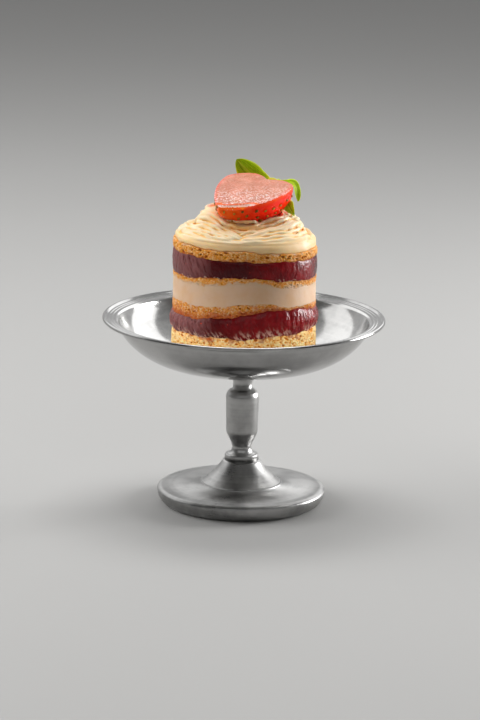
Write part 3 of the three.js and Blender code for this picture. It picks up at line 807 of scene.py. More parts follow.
def noise(tree, place, scale, detail=2.0, rough=0.5):
    """The value of a noise texture."""
    inputs = {"Vector": place, "Scale": scale, "Detail": detail, "Roughness": rough}
    return add_node(tree, "ShaderNodeTexNoise", inputs).outputs[0]


def blend_colour(tree, factor, first, second, mode="MIX"):
    """A mix of two colours."""
    mix = add_node(tree, "ShaderNodeMix", {0: factor, 6: first, 7: second}, data_type="RGBA", blend_type=mode)
    return mix.outputs[2]


def new_tree(name, kind, inputs, outputs):
    """A node tree with named sockets, and its input and output nodes."""
    tree = bpy.data.node_groups.new(name, kind)
    for label, socket, default in inputs:
        made = tree.interface.new_socket(label, in_out="INPUT", socket_type=socket)
        if default is not None:
            made.default_value = default
    for label, socket in outputs:
        tree.interface.new_socket(label, in_out="OUTPUT", socket_type=socket)
    return tree, tree.nodes.new("NodeGroupInput").outputs, tree.nodes.new("NodeGroupOutput").inputs


def put_out(tree, sockets, values):
    """Links values to sockets by name."""
    for name, value in values.items():
        tree.links.new(value, sockets[name])


def shared_tree(name, build):
    """A node tree that is built once and then used again."""
    return bpy.data.node_groups.get(name) or build()


# Geometry nodes.


def named_values(tree, name, kind="FLOAT"):
    """What the points hold under a name."""
    return add_node(tree, "GeometryNodeInputNamedAttribute", {"Name": name}, data_type=kind).outputs[0]


def store_values(tree, geometry, name, value, domain):
    """A geometry that also holds a number under a name."""
    inputs = {"Geometry": geometry, "Name": name, "Value": value}
    node = add_node(tree, "GeometryNodeStoreNamedAttribute", inputs, data_type="FLOAT", domain=domain)
    return node.outputs[0]


def random_vector(tree, low, high, seed):
    """A vector drawn between two others."""
    inputs = {0: low, 1: high, "Seed": seed}
    return add_node(tree, "FunctionNodeRandomValue", inputs, data_type="FLOAT_VECTOR").outputs[0]


def finish_geometry(tree, geometry, given, made):
    """Ends a geometry tree with real instances and the material that it is given."""
    real = add_node(tree, "GeometryNodeRealizeInstances", {"Geometry": geometry}).outputs[0]
    painted = add_node(tree, "GeometryNodeSetMaterial", {"Geometry": real, "Material": given["Material"]})
    tree.links.new(painted.outputs[0], made["Geometry"])


def sponge_pits(tree, place, scale):
    """How deep the pores and the open crumb of a sponge are, from 0 to 1."""
    pits = []
    for finer, deep in PORE_KINDS:
        inputs = {"Vector": place, "Scale": product(tree, scale, finer)}
        cells = add_node(tree, "ShaderNodeTexVoronoi", inputs).outputs
        reach = ramp(tree, cells["Color"], *PORE_DRAW, *PORE_REACH)
        hole = ramp(tree, cells["Distance"], reach, product(tree, reach, PORE_FLOOR))
        pits.append(product(tree, hole, deep))
    finer, start, full, deep = OPEN_CRUMB
    strings = noise(tree, place, product(tree, scale, finer), 3.0, 0.6)
    return maths(tree, "MAXIMUM", maths(tree, "MAXIMUM", *pits), ramp(tree, strings, start, full, 0.0, deep))


def loose_crumbs(tree, mesh, side, given):
    """Crumbs of uneven size and tone, scattered on the side of a layer."""
    on_side = maths(tree, "GREATER_THAN", side, CRUMB_SIDE)
    inputs = {"Mesh": mesh, "Selection": on_side, "Density": given["Crumb Density"], "Seed": given["Seed"]}
    spread = add_node(tree, "GeometryNodeDistributePointsOnFaces", inputs).outputs["Points"]
    turn = random_vector(tree, (0.0, 0.0, 0.0), (FULL_TURN,) * 3, given["Seed"])
    grow = random_vector(tree, *CRUMB_STRETCH, given["Seed"])
    grow = vector_maths(tree, "SCALE", grow, given["Crumb Size"])
    bit = add_node(tree, "GeometryNodeMeshIcoSphere", {"Radius": 1.0, "Subdivisions": 1}).outputs["Mesh"]
    inputs = {"Points": spread, "Instance": bit, "Rotation": turn, "Scale": grow}
    crumbs = add_node(tree, "GeometryNodeInstanceOnPoints", inputs).outputs[0]
    tone = add_node(tree, "FunctionNodeRandomValue", {2: 0.1, 3: 1.0}, data_type="FLOAT").outputs[1]
    return store_values(tree, crumbs, "tone", tone, "INSTANCE")


def relief_tree():
    """Geometry nodes that roughen a layer's side with crags, pores and loose crumbs."""
    tree, given, made = new_tree(
        "layer relief", "GeometryNodeTree",
        [("Geometry", GEOMETRY, None), ("Crag Size", FLOAT, 2.0 * MM), ("Crag Squash", FLOAT, 1.0),
         ("Crag Height", FLOAT, 0.3 * MM), ("Pore Size", FLOAT, 1.3 * MM), ("Pore Depth", FLOAT, 0.6 * MM),
         ("Crumb Density", FLOAT, 0.0), ("Crumb Size", FLOAT, 0.3 * MM), ("Seed", INTEGER, 1),
         ("Material", MATERIAL, None)],
        [("Geometry", GEOMETRY)],
    )
    position = add_node(tree, "GeometryNodeInputPosition").outputs[0]
    normal = add_node(tree, "GeometryNodeInputNormal").outputs[0]
    side = named_values(tree, "side")
    shift = vector_maths(tree, "ADD", position, given["Seed"])
    squash = add_node(tree, "ShaderNodeCombineXYZ", {0: 1.0, 1: 1.0, 2: given["Crag Squash"]}).outputs[0]
    squashed = vector_maths(tree, "MULTIPLY", shift, squash)
    crag = noise(tree, squashed, maths(tree, "DIVIDE", 1.0, given["Crag Size"]), 3.0, 0.6)
    crag = swing(tree, crag, product(tree, given["Crag Height"], 2.0))
    pore_scale = maths(tree, "DIVIDE", 1.0, given["Pore Size"])
    warp = add_node(tree, "ShaderNodeTexNoise", {"Vector": shift, "Scale": pore_scale, "Detail": 2.0})
    warp = vector_maths(tree, "SCALE", warp.outputs[1], given["Pore Size"])
    warped = vector_maths(tree, "ADD", shift, warp)
    pit = sponge_pits(tree, vector_maths(tree, "MULTIPLY", warped, (1.0, 1.0, PORE_FLATTEN)), pore_scale)
    depth = maths(tree, "SUBTRACT", crag, product(tree, pit, given["Pore Depth"]))
    offset = vector_maths(tree, "SCALE", normal, product(tree, depth, side))
    # Painted shade: shallow pores are painted less dark.
    pore_shading = maths(tree, "MINIMUM", maths(tree, "DIVIDE", given["Pore Depth"], PORE_SHADE_DEPTH), 1.0)
    stored = store_values(tree, given["Geometry"], "pit", product(tree, pit, pore_shading), "POINT")
    rough = add_node(tree, "GeometryNodeSetPosition", {"Geometry": stored, "Offset": offset}).outputs[0]
    joined = add_node(tree, "GeometryNodeJoinGeometry")
    for shape in (loose_crumbs(tree, rough, side, given), rough):
        tree.links.new(shape, joined.inputs[0])
    finish_geometry(tree, joined.outputs[0], given, made)
    return tree


def strand_tree():
    """Geometry nodes that lay a round strand along each line, as thick as its points say."""
    tree, given, made = new_tree(
        "piped strands", "GeometryNodeTree",
        [("Geometry", GEOMETRY, None), ("Step", FLOAT, STRAND_STEP), ("Sides", INTEGER, STRAND_SIDES),
         ("Material", MATERIAL, None)],
        [("Geometry", GEOMETRY)],
    )
    lines = add_node(tree, "GeometryNodeMeshToCurve", {"Mesh": given["Geometry"]}).outputs[0]
    inputs = {"Curve": lines, "Length": given["Step"]}
    even = add_node(tree, "GeometryNodeResampleCurve", inputs, mode="LENGTH").outputs[0]
    inputs = {"Resolution": given["Sides"], "Radius": 1.0}
    outline = add_node(tree, "GeometryNodeCurvePrimitiveCircle", inputs).outputs[0]
    thick = named_values(tree, "thickness")
    inputs = {"Curve": even, "Profile Curve": outline, "Scale": thick, "Fill Caps": True}
    tube = add_node(tree, "GeometryNodeCurveToMesh", inputs).outputs[0]
    finish_geometry(tree, tube, given, made)
    return tree


def seed_tree():
    """Geometry nodes that set a seed on each point, lying along the skin."""
    tree, given, made = new_tree(
        "strawberry seeds", "GeometryNodeTree",
        [("Geometry", GEOMETRY, None), ("Size", VECTOR, SEED_SIZE), ("Seed", INTEGER, 3),
         ("Material", MATERIAL, None)],
        [("Geometry", GEOMETRY)],
    )
    places = add_node(tree, "GeometryNodeMeshToPoints", {"Mesh": given["Geometry"]}).outputs[0]
    align = "FunctionNodeAlignRotationToVector"
    long = add_node(tree, align, {"Vector": (1.0, 0.0, 0.0)}, axis="X").outputs[0]
    inputs = {"Rotation": long, "Vector": named_values(tree, "facing", "FLOAT_VECTOR")}
    lying = add_node(tree, align, inputs, axis="Z").outputs[0]
    vary = random_vector(tree, *SEED_VARY, given["Seed"])
    size = vector_maths(tree, "MULTIPLY", vary, given["Size"])
    bead = add_node(tree, "GeometryNodeMeshIcoSphere", {"Radius": 1.0, "Subdivisions": 3}).outputs["Mesh"]
    inputs = {"Points": places, "Instance": bead, "Rotation": lying, "Scale": size}
    seeds = add_node(tree, "GeometryNodeInstanceOnPoints", inputs).outputs[0]
    finish_geometry(tree, seeds, given, made)
    return tree


# Shader groups.


def object_place(tree):
    """Object coordinates."""
    return add_node(tree, "ShaderNodeTexCoord").outputs["Object"]


def point_value(tree, name):
    """A number that the mesh's points hold."""
    return add_node(tree, "ShaderNodeAttribute", attribute_name=name).outputs["Fac"]


def grey(tree, value):
    """A grey of a value."""
    return add_node(tree, "ShaderNodeCombineColor", {0: value, 1: value, 2: value}).outputs[0]


def flecks(tree, place, scale, full, gone):
    """Small round spots in the hearts of a few cells of a pattern."""
    cells = add_node(tree, "ShaderNodeTexVoronoi", {"Vector": place, "Scale": scale}).outputs
    draw = add_node(tree, "ShaderNodeSeparateColor", {0: cells["Color"]}).outputs[0]
    chosen = maths(tree, "GREATER_THAN", draw, FLECK_DRAW)
    return product(tree, chosen, ramp(tree, cells["Distance"], full, gone, 1.0, 0.0))


def finish_group():
    """Turning lines round the axis and soft smudges, for turned steel."""
    tree, given, made = new_tree(
        "turned finish", "ShaderNodeTree",
        [("Spacing", FLOAT, 0.35 * MM), ("Roughness", FLOAT, 0.3), ("Smudge", FLOAT, 0.1),
         ("Steel", COLOUR, None), ("Lit Inside", COLOUR, None)],
        [("Color", COLOUR), ("Roughness", FLOAT), ("Height", FLOAT)],
    )
    place = object_place(tree)
    parts = add_node(tree, "ShaderNodeSeparateXYZ", {0: place}).outputs
    across = add_node(tree, "ShaderNodeCombineXYZ", {0: parts[0], 1: parts[1]}).outputs[0]
    radius = add_node(tree, "ShaderNodeVectorMath", {0: across}, operation="LENGTH").outputs["Value"]
    spot = add_node(tree, "ShaderNodeCombineXYZ", {0: radius, 1: parts[2]}).outputs[0]
    lines = noise(tree, spot, maths(tree, "DIVIDE", 1.0, given["Spacing"]), 3.0, 0.6)
    cloud = noise(tree, place, STEEL_CLOUD, 4.0, 0.6)
    wipe = noise(tree, spot, STEEL_WIPE, 3.0, 0.6)
    smudge = add_node(tree, "ShaderNodeMix", {0: WIPE_SHARE, 2: cloud, 3: wipe}).outputs[0]
    uneven = maths(tree, "ADD", swing(tree, smudge, given["Smudge"]), swing(tree, lines, LINE_ROUGHNESS))
    stain = product(tree, ramp(tree, smudge, *STAIN_RANGE, STAIN_DEPTH, 0.0), given["Smudge"])
    tone = grey(tree, maths(tree, "SUBTRACT", 1.0, stain))
    # Painted light: lighter steel inside the bowl and partly on the flange.
    steel = blend_colour(tree, point_value(tree, "inside"), given["Steel"], given["Lit Inside"])
    put_out(tree, made, {
        "Color": blend_colour(tree, 1.0, steel, tone, "MULTIPLY"),
        "Roughness": maths(tree, "ADD", given["Roughness"], uneven),
        "Height": lines,
    })
    return tree


def crumb_group():
    """Crumb of a sponge: golden with painted shade in its pores and pale bits, soaked with jam and smeared
    with cream.
    """
    tree, given, made = new_tree(
        "crumb", "ShaderNodeTree",
        [("Crumb", COLOUR, None), ("Pale", COLOUR, None), ("Rim", COLOUR, None), ("Pore", COLOUR, None),
         ("Soak", COLOUR, None), ("Soak From", FLOAT, 1.0), ("Soak Full", FLOAT, 2.0),
         ("Smear", COLOUR, None), ("Smear From", FLOAT, 1.0), ("Smear Full", FLOAT, 2.0)],
        [("Color", COLOUR), ("Height", FLOAT)],
    )
    place = object_place(tree)
    grain = noise(tree, place, CRUMB_GRAIN, 3.0, 0.65)
    patch = noise(tree, place, CRUMB_PATCH, 3.0, 0.6)
    pale = blend_colour(tree, 0.5, given["Crumb"], given["Pale"])
    toasted = ramp(tree, noise(tree, place, CRUMB_TOAST, 3.0, 0.6), 0.42, 0.64, 0.55, 0.0)
    colour = blend_colour(tree, toasted, given["Crumb"], given["Rim"])
    colour = blend_colour(tree, ramp(tree, grain, 0.42, 0.66), colour, pale)
    # Painted shade: orange, then dark brown, with the depth of the pores.
    depth = maths(tree, "ADD", point_value(tree, "pit"), swing(tree, grain, -0.5))
    colour = blend_colour(tree, ramp(tree, depth, 0.05, 0.45), colour, given["Rim"])
    colour = blend_colour(tree, ramp(tree, depth, 0.4, 1.0), colour, given["Pore"])
    colour = blend_colour(tree, product(tree, point_value(tree, "tone"), 0.7), colour, pale)
    height = point_value(tree, "height")
    edge = maths(tree, "ADD", height, swing(tree, patch, SOAK_STRAY))
    soak = product(tree, ramp(tree, edge, given["Soak From"], given["Soak Full"]), SOAK_SHARE)
    colour = blend_colour(tree, soak, colour, given["Soak"])
    edge = maths(tree, "ADD", height, swing(tree, patch, SMEAR_STRAY))
    smear = ramp(tree, edge, given["Smear From"], given["Smear Full"])
    colour = blend_colour(tree, smear, colour, given["Smear"])
    put_out(tree, made, {"Color": colour, "Height": grain})
    return tree


def wet_group():
    """Jam: dark depths, ruby painted as if lit through, a painted hazy reflection, slanting streaks, and
    crumb smeared on its lower edge.
    """
    tree, given, made = new_tree(
        "wet jam", "ShaderNodeTree",
        [("Deep", COLOUR, None), ("Ruby", COLOUR, None), ("Ruby From", FLOAT, 20.0 * MM),
         ("Sheen", COLOUR, None), ("Glint", COLOUR, None), ("Glints", FLOAT, 0.0), ("Smear", COLOUR, None),
         ("Smear Height", FLOAT, 0.3), ("Roughness", FLOAT, 0.15)],
        [("Color", COLOUR), ("Roughness", FLOAT), ("Height", FLOAT)],
    )
    place = object_place(tree)
    rise = add_node(tree, "ShaderNodeSeparateXYZ", {0: place}).outputs[2]
    inputs = {"Vector": place, "Angle": product(tree, rise, STREAK_SLANT)}
    slanted = add_node(tree, "ShaderNodeVectorRotate", inputs, rotation_type="Z_AXIS").outputs[0]
    upright = add_node(tree, "ShaderNodeMapping", {"Vector": slanted, "Scale": STREAK_STRETCH}).outputs[0]
    streak = noise(tree, upright, JAM_STREAK, 3.0, 0.6)
    lump = noise(tree, place, JAM_LUMP, 3.0, 0.55)
    # Painted light: the jam turns ruby towards the lit way, as if light from that side shone through it.
    wet = ramp(tree, distance_along(tree, place, JAM_LIT_WAY), given["Ruby From"], JAM_LIT_FULL, 0.12, 1.0)
    wet = product(tree, wet, ramp(tree, lump, 0.3, 0.7, 0.5, 1.0))
    colour = blend_colour(tree, wet, given["Deep"], given["Ruby"])
    # Painted reflection: a pale hazy sheen, streaked, round the sheen way.
    sheen = ramp(tree, distance_along(tree, place, JAM_SHEEN_WAY), *JAM_SHEEN_REACH)
    sheen = product(tree, sheen, ramp(tree, streak, 0.3, 0.65, 0.3, 1.0))
    colour = blend_colour(tree, product(tree, sheen, SHEEN_SHARE), colour, given["Sheen"])
    glint = product(tree, flecks(tree, place, JAM_GLINT, 0.08, 0.2), given["Glints"])
    colour = blend_colour(tree, glint, colour, given["Glint"])
    low = maths(tree, "ADD", point_value(tree, "height"), swing(tree, lump, 0.7))
    low = ramp(tree, low, 0.0, given["Smear Height"], 1.0, 0.0)
    patch = ramp(tree, noise(tree, place, JAM_PATCH, 2.0), 0.34, 0.52)
    smear = product(tree, low, patch, ramp(tree, streak, 0.44, 0.62))
    rough = maths(tree, "ADD", given["Roughness"], swing(tree, streak, 0.3))
    matt = product(tree, maths(tree, "MAXIMUM", smear, sheen), 0.25)
    put_out(tree, made, {
        "Color": blend_colour(tree, smear, colour, given["Smear"]),
        "Roughness": maths(tree, "ADD", rough, matt),
        "Height": streak,
    })
    return tree


def cream_group():
    """Cream: ivory, faint drifts of tone, painted golden shade in hollows, painted white ridge highlights,
    tiny flecks, soft grain.
    """
    tree, given, made = new_tree(
        "cream", "ShaderNodeTree",
        [("Cream", COLOUR, None), ("Drift", COLOUR, None), ("Deep", COLOUR, None), ("Ridge Highlight", COLOUR, None),
         ("Fleck", COLOUR, None), ("Flecks", FLOAT, 0.5)],
        [("Color", COLOUR), ("Roughness", FLOAT), ("Height", FLOAT)],
    )
    place = object_place(tree)
    drift = noise(tree, place, CREAM_DRIFT, 4.0, 0.55)
    colour = blend_colour(tree, ramp(tree, drift, 0.4, 0.72), given["Cream"], given["Drift"])
    hollow = point_value(tree, "hollow")
    # Painted shade: golden in the hollows.
    colour = blend_colour(tree, ramp(tree, hollow, 0.0, HOLLOW_SHADE_FULL, 0.0, SHADE_AND_HIGHLIGHT_SHARE), colour, given["Deep"])
    # Painted highlight: whiter on the ridges.
    colour = blend_colour(tree, ramp(tree, hollow, 0.0, RIDGE_HIGHLIGHT_FULL, 0.0, SHADE_AND_HIGHLIGHT_SHARE), colour, given["Ridge Highlight"])
    fleck = product(tree, flecks(tree, place, CREAM_FLECK, 0.06, 0.14), given["Flecks"])
    put_out(tree, made, {
        "Color": blend_colour(tree, fleck, colour, given["Fleck"]),
        "Roughness": ramp(tree, drift, 0.3, 0.7, 0.36, 0.5),
        "Height": noise(tree, place, CREAM_GRAIN, 3.0, 0.6),
    })
    return tree


# Materials.


def new_material(name, **constants):
    """A material whose Principled shader has these constant inputs, by their names with underscores."""
    material = bpy.data.materials.new(name)
    material.use_nodes = True
    shader = material.node_tree.nodes["Principled BSDF"]
    for key, value in constants.items():
        shader.inputs[key.replace("_", " ")].default_value = value
    return material, material.node_tree, shader


def use_group(tree, shader, group, inputs, strength, distance):
    """Places a shader group, and links what it puts out to the shader, its height through a bump."""
    node = tree.nodes.new("ShaderNodeGroup")
    node.node_tree = group
    for key, value in inputs.items():
        node.inputs[key].default_value = value
    links = {"Color": "Base Color", "Roughness": "Roughness"}
    for output in node.outputs:
        if output.name in links:
            tree.links.new(output, shader.inputs[links[output.name]])
    add_bump(tree, shader, node.outputs["Height"], strength, distance)


def add_bump(tree, shader, height, strength, distance):
    """Fine relief on a shader from a height."""
    bump = add_node(tree, "ShaderNodeBump", {"Height": height, "Strength": strength, "Distance": distance})
    tree.links.new(bump.outputs[0], shader.inputs["Normal"])


def steel_material(name, roughness, smudge, bump):
    """Satin steel with turning lines."""
    dish = settings("dish")
    material, tree, shader = new_material(name, Metallic=1.0, Anisotropic=0.3)
    inputs = {
        "Spacing": dish.line_spacing, "Roughness": roughness, "Smudge": smudge,
        "Steel": rgba(dish.steel), "Lit Inside": rgba(dish.inner),
    }
    use_group(tree, shader, shared_tree("turned finish", finish_group), inputs, bump, 0.05 * MM)
    return material


def sponge_material(name, crumb, rim, pore, soak, smear):
    """Sponge with open crumb, with the heights from which jam soaks it and cream smears it."""
    cake = settings("cake")
    material, tree, shader = new_material(
        name, Roughness=0.85, Subsurface_Weight=0.25, Subsurface_Radius=(1.0, 0.5, 0.2),
        Subsurface_Scale=0.8 * MM, Specular_IOR_Level=0.3,
    )
    inputs = {
        "Crumb": rgba(crumb), "Pale": rgba(cake.pale), "Rim": rgba(rim), "Pore": rgba(pore),
        "Soak": rgba(cake.soak), "Soak From": soak[0], "Soak Full": soak[1],
        "Smear": rgba(cake.cream), "Smear From": smear[0], "Smear Full": smear[1],
    }
    use_group(tree, shader, shared_tree("crumb", crumb_group), inputs, 1.0, 0.2 * MM)
    return material


def jam_material(name, smear_height, bump, glints, ruby_from, shine):
    """Wet jam, with how far up crumb is smeared on it and how far out it turns ruby."""
    cake = settings("cake")
    material, tree, shader = new_material(
        name, Subsurface_Weight=0.35, Subsurface_Radius=(1.0, 0.12, 0.08), Subsurface_Scale=2.5 * MM,
        IOR=1.35, Specular_IOR_Level=shine,
    )
    inputs = {
        "Deep": rgba(cake.jam), "Ruby": rgba(cake.ruby), "Ruby From": ruby_from, "Sheen": rgba(cake.hazy_sheen),
        "Glint": rgba(cake.glint), "Glints": glints, "Smear": rgba(cake.smear), "Smear Height": smear_height,
        "Roughness": 0.24,
    }
    use_group(tree, shader, shared_tree("wet jam", wet_group), inputs, bump, 0.06 * MM)
    return material


def cream_material(name, colour, flecks_share, bump):
    """Whipped or set cream."""
    cream = settings("cream")
    material, tree, shader = new_material(
        name, Subsurface_Weight=0.4, Subsurface_Radius=(1.0, 0.62, 0.3), Subsurface_Scale=1.4 * MM,
        Specular_IOR_Level=0.45,
    )
    inputs = {
        "Cream": rgba(colour), "Drift": rgba(shaded(colour, DRIFT_SHADE)), "Deep": rgba(cream.deep),
        "Ridge Highlight": rgba(cream.ridge_highlight), "Fleck": rgba(cream.fleck), "Flecks": flecks_share,
    }
    use_group(tree, shader, shared_tree("cream", cream_group), inputs, bump, 0.05 * MM)
    return material


def berry_skin(tree, patch):
    """Colour of the skin: ripe red, orange at the tip and by the cut, and pale at the stem end."""
    berry = settings("strawberry")
    along = point_value(tree, "along")
    tip = ramp(tree, maths(tree, "ADD", along, swing(tree, patch, 0.35)), 0.7, 1.05)
    by_cut = ramp(tree, point_value(tree, "drop"), 0.0, 2.6 * MM, 0.5, 0.0)
    skin = blend_colour(tree, maths(tree, "MAXIMUM", tip, by_cut), rgba(berry.skin), rgba(berry.blush))
    return blend_colour(tree, ramp(tree, along, -0.01, 0.05, 0.8, 0.0), skin, rgba(berry.stem_end))


def berry_flesh(tree, place, patch, slope):
    """Cut face: painted white glints on fibres, red gaps, both clearest at its front, and a painted highlight
    on its slope.
    """
    berry = settings("strawberry")
    pale = tuple(min(channel * 1.2 + 0.06, 1.0) for channel in berry.flesh)
    flesh = blend_colour(tree, ramp(tree, patch, 0.3, 0.7), rgba(berry.flesh), rgba(pale))
    by_skin = ramp(tree, point_value(tree, "inward"), 0.0, 2.2 * MM, 0.4, 0.0)
    flesh = blend_colour(tree, by_skin, flesh, rgba(berry.skin))
    back = add_node(tree, "ShaderNodeSeparateXYZ", {0: place}).outputs[1]
    front = ramp(tree, back, *GLINT_FRONT, 0.12, 0.9)
    grain = noise(tree, place, BERRY_GRAIN, 3.0, 0.6)
    gap = product(tree, ramp(tree, grain, 0.36, 0.48, 0.7, 0.0), front)
    flesh = blend_colour(tree, gap, flesh, rgba(berry.gap))
    # Painted highlight: white glints on the grain, strongest at the front.
    fibre = product(tree, ramp(tree, grain, 0.5, 0.62), front)
    flesh = blend_colour(tree, fibre, flesh, rgba(berry.fibre))
    # Painted highlight: pale on the slope at the cut's edge.
    flesh = blend_colour(tree, ramp(tree, slope, 0.2, 0.5), flesh, rgba(berry.bevel))
    line = product(tree, ramp(tree, slope, 0.02, 0.1), ramp(tree, slope, 0.14, 0.28, 1.0, 0.0))
    return blend_colour(tree, line, flesh, rgba(berry.blush))


def berry_material():
    """Strawberry: glossy skin that turns orange at the tip, and a wet fibrous cut face."""
    material, tree, shader = new_material(
        "strawberry", Subsurface_Weight=0.35, Subsurface_Radius=(1.0, 0.13, 0.08), Subsurface_Scale=2.0 * MM,
        Coat_Roughness=0.15, IOR=1.24,
    )
    place = object_place(tree)
    cut = point_value(tree, "cut")
    slope = point_value(tree, "slope")
    patch = noise(tree, place, BERRY_PATCH, 3.0, 0.6)
    fibre = noise(tree, place, BERRY_FIBRE, 4.0, 0.7)
    wet = ramp(tree, fibre, 0.35, 0.65, 0.22, 0.5)
    skin, flesh = berry_skin(tree, patch), berry_flesh(tree, place, patch, slope)
    put_out(tree, shader.inputs, {
        "Base Color": blend_colour(tree, cut, skin, flesh),
        "Roughness": add_node(tree, "ShaderNodeMix", {0: cut, 2: 0.1, 3: wet}).outputs[0],
        "Coat Weight": ramp(tree, slope, 0.0, 0.4, 0.05, 0.6),
    })
    relief = add_node(tree, "ShaderNodeMix", {0: cut, 2: 0.05, 3: 1.0}).outputs[0]
    add_bump(tree, shader, product(tree, fibre, relief), 0.1, 0.12 * MM)
    return material


def seed_material():
    """Olive seeds with a dry shine."""
    material, tree, shader = new_material("strawberry seed", Roughness=0.4, Specular_IOR_Level=0.2)
    seed = settings("strawberry").seed
    tone = ramp(tree, noise(tree, object_place(tree), SEED_TONE), 0.35, 0.65)
    colour = blend_colour(tree, tone, rgba(shaded(seed, SEED_SHADE)), rgba(seed))
    tree.links.new(colour, shader.inputs["Base Color"])
    return material


def leaf_material():
    """Yellow-green leaf with a pale midrib, side veins and a lighter edge."""
    berry = settings("strawberry")
    material, tree, shader = new_material(
        "leaf", Roughness=0.5, Specular_IOR_Level=0.08, Subsurface_Weight=0.4,
        Subsurface_Radius=(0.7, 1.0, 0.1), Subsurface_Scale=0.8 * MM,
    )
    along = point_value(tree, "along")
    sideways = point_value(tree, "across")
    across = maths(tree, "ABSOLUTE", sideways)
    slant = maths(tree, "SUBTRACT", along, product(tree, across, VEIN_SLANT))
    wave = maths(tree, "ABSOLUTE", maths(tree, "SINE", product(tree, slant, VEIN_WAVES)))
    midrib = ramp(tree, across, 0.03, 0.12, 1.0, 0.0)
    vein = maths(tree, "MAXIMUM", ramp(tree, wave, 0.0, 0.22, 0.6, 0.0), midrib)
    sheet = add_node(tree, "ShaderNodeCombineXYZ", {0: along, 1: product(tree, sideways, 4.0)}).outputs[0]
    patch = ramp(tree, noise(tree, sheet, 3.0, 4.0, 0.65), 0.35, 0.7)
    colour = blend_colour(tree, patch, rgba(shaded(berry.leaf, LEAF_SHADE)), rgba(berry.leaf))
    colour = blend_colour(tree, product(tree, vein, 0.5), colour, rgba(berry.vein))
    colour = blend_colour(tree, ramp(tree, across, 0.72, 1.0, 0.0, 0.75), colour, rgba(berry.vein))
    colour = blend_colour(tree, ramp(tree, along, 0.0, 0.35, 0.9, 0.0), colour, rgba(berry.leaf_foot))
    tree.links.new(colour, shader.inputs["Base Color"])
    add_bump(tree, shader, vein, 0.4, 0.15 * MM)
    return material


# The dish.


def bowl_side(turn, wall):
    """A point of the bowl's side, or of the inside one wall thickness further in."""
    normal = np.array((-math.sin(turn) / BOWL_SPREAD, math.cos(turn) / BOWL_RISE))
    normal *= wall / np.linalg.norm(normal)
    radius = BOWL_FLAT + BOWL_SPREAD * math.sin(turn)
    return (radius + normal[0], BOWL_BASE + BOWL_RISE * (1.0 - math.cos(turn)) + normal[1])


BOWL_END_TURN = math.acos(1.0 - (FLANGE_UNDERSIDE - BOWL_BASE) / BOWL_RISE)
BOWL_FLOOR_TURN = math.asin((BOWL_FLOOR_RADIUS - BOWL_FLAT) / BOWL_SPREAD)
BOWL_FLOOR = bowl_side(BOWL_FLOOR_TURN, BOWL_WALL)[1]


def bowl_profile():
    """Underside, rolled lip, grooved flange and inside of the bowl."""
    outside = [bowl_side(turn, 0.0) for turn in np.linspace(0.0, BOWL_END_TURN, BOWL_STEPS)]
    lip = arc((RIM_RADIUS - LIP_RADIUS, LIP_HEIGHT), LIP_RADIUS, LIP_BEARINGS, LIP_STEPS)
    flange = []
    for t in np.linspace(0.0, 1.0, FLANGE_STEPS):
        radius, height = between(FLANGE_OUTER, FLANGE_INNER, t)
        dip = sum(GROOVE_DEPTH * math.exp(-(((radius - groove) / GROOVE_WIDTH) ** 2)) for groove in GROOVES)
        flange.append((radius, height - dip))
    inside = [bowl_side(turn, BOWL_WALL) for turn in np.linspace(BOWL_END_TURN, BOWL_FLOOR_TURN, BOWL_STEPS)]
    corners = zip((*flange[-2:], *inside[:2]), (0.0, SHOULDER_ROUND, SHOULDER_ROUND, 0.0))
    shoulder = rounded([(*place, cut) for place, cut in corners])
    return [(0.0, BOWL_BASE), *outside, *lip, *flange[:-2], *shoulder, *inside[2:], (0.0, BOWL_FLOOR)]


def stem_profile():
    """Collar, waist, swell, long body, shoulder, neck and flared head."""
    foot, head = CONE_HEAD[1] - STEM_FOOT_SINK, BOWL_BASE + STEM_HEAD_SINK
    side, top = (COLLAR[0], COLLAR[1] - COLLAR_ROUND), (COLLAR[0] - COLLAR_ROUND, COLLAR[1])
    flare = (NECK[0], FLARE_HEIGHT)
    swell = []
    for t in np.linspace(0.0, 1.0, SWELL_STEPS)[1:]:
        share = t + (float(smooth_ramp(0.0, 1.0, t)) - t) * SWELL_EASE
        swell.append((between(WAIST, BODY_FOOT, share)[0], between(WAIST, BODY_FOOT, t)[1]))
    return [
        (0.0, foot), (COLLAR[0], foot), side, *bend(side, top, False, COLLAR_STEPS), *bend(top, WAIST, True),
        *swell, BODY_HEAD, *bend(BODY_HEAD, NECK, False), flare, *bend(flare, HEAD, False),
        (HEAD[0], head), (0.0, head),
    ]


def foot_profile():
    """Ring that it rests on, swelling side, rounded edge, disc, thin bead and hollow cone."""
    rest, edge = (FOOT_REST, 0.0), (FOOT_RADIUS, FOOT_EDGE)
    recess = (FOOT_REST - 2 * FOOT_REST_WIDTH, FOOT_RECESS)
    bead = arc(CONE_FOOT, CONE_BEAD, CONE_BEAD_BEARINGS, CONE_BEAD_STEPS)
    cone = []
    for t in np.linspace(0.0, 1.0, CONE_STEPS):
        radius, height = between(CONE_FOOT, CONE_HEAD, t)
        sag = CONE_HOLLOW * math.sin(math.pi * t)
        cone.append((radius - sag, height - sag))
    return [
        (0.0, FOOT_RECESS), recess, (FOOT_REST - FOOT_REST_WIDTH, 0.0), rest,
        *bend(rest, edge, True, FOOT_SIDE_STEPS), *bend(edge, FOOT_DISC, False), *bead, *cone[2:],
        (0.0, CONE_HEAD[1]),
    ]


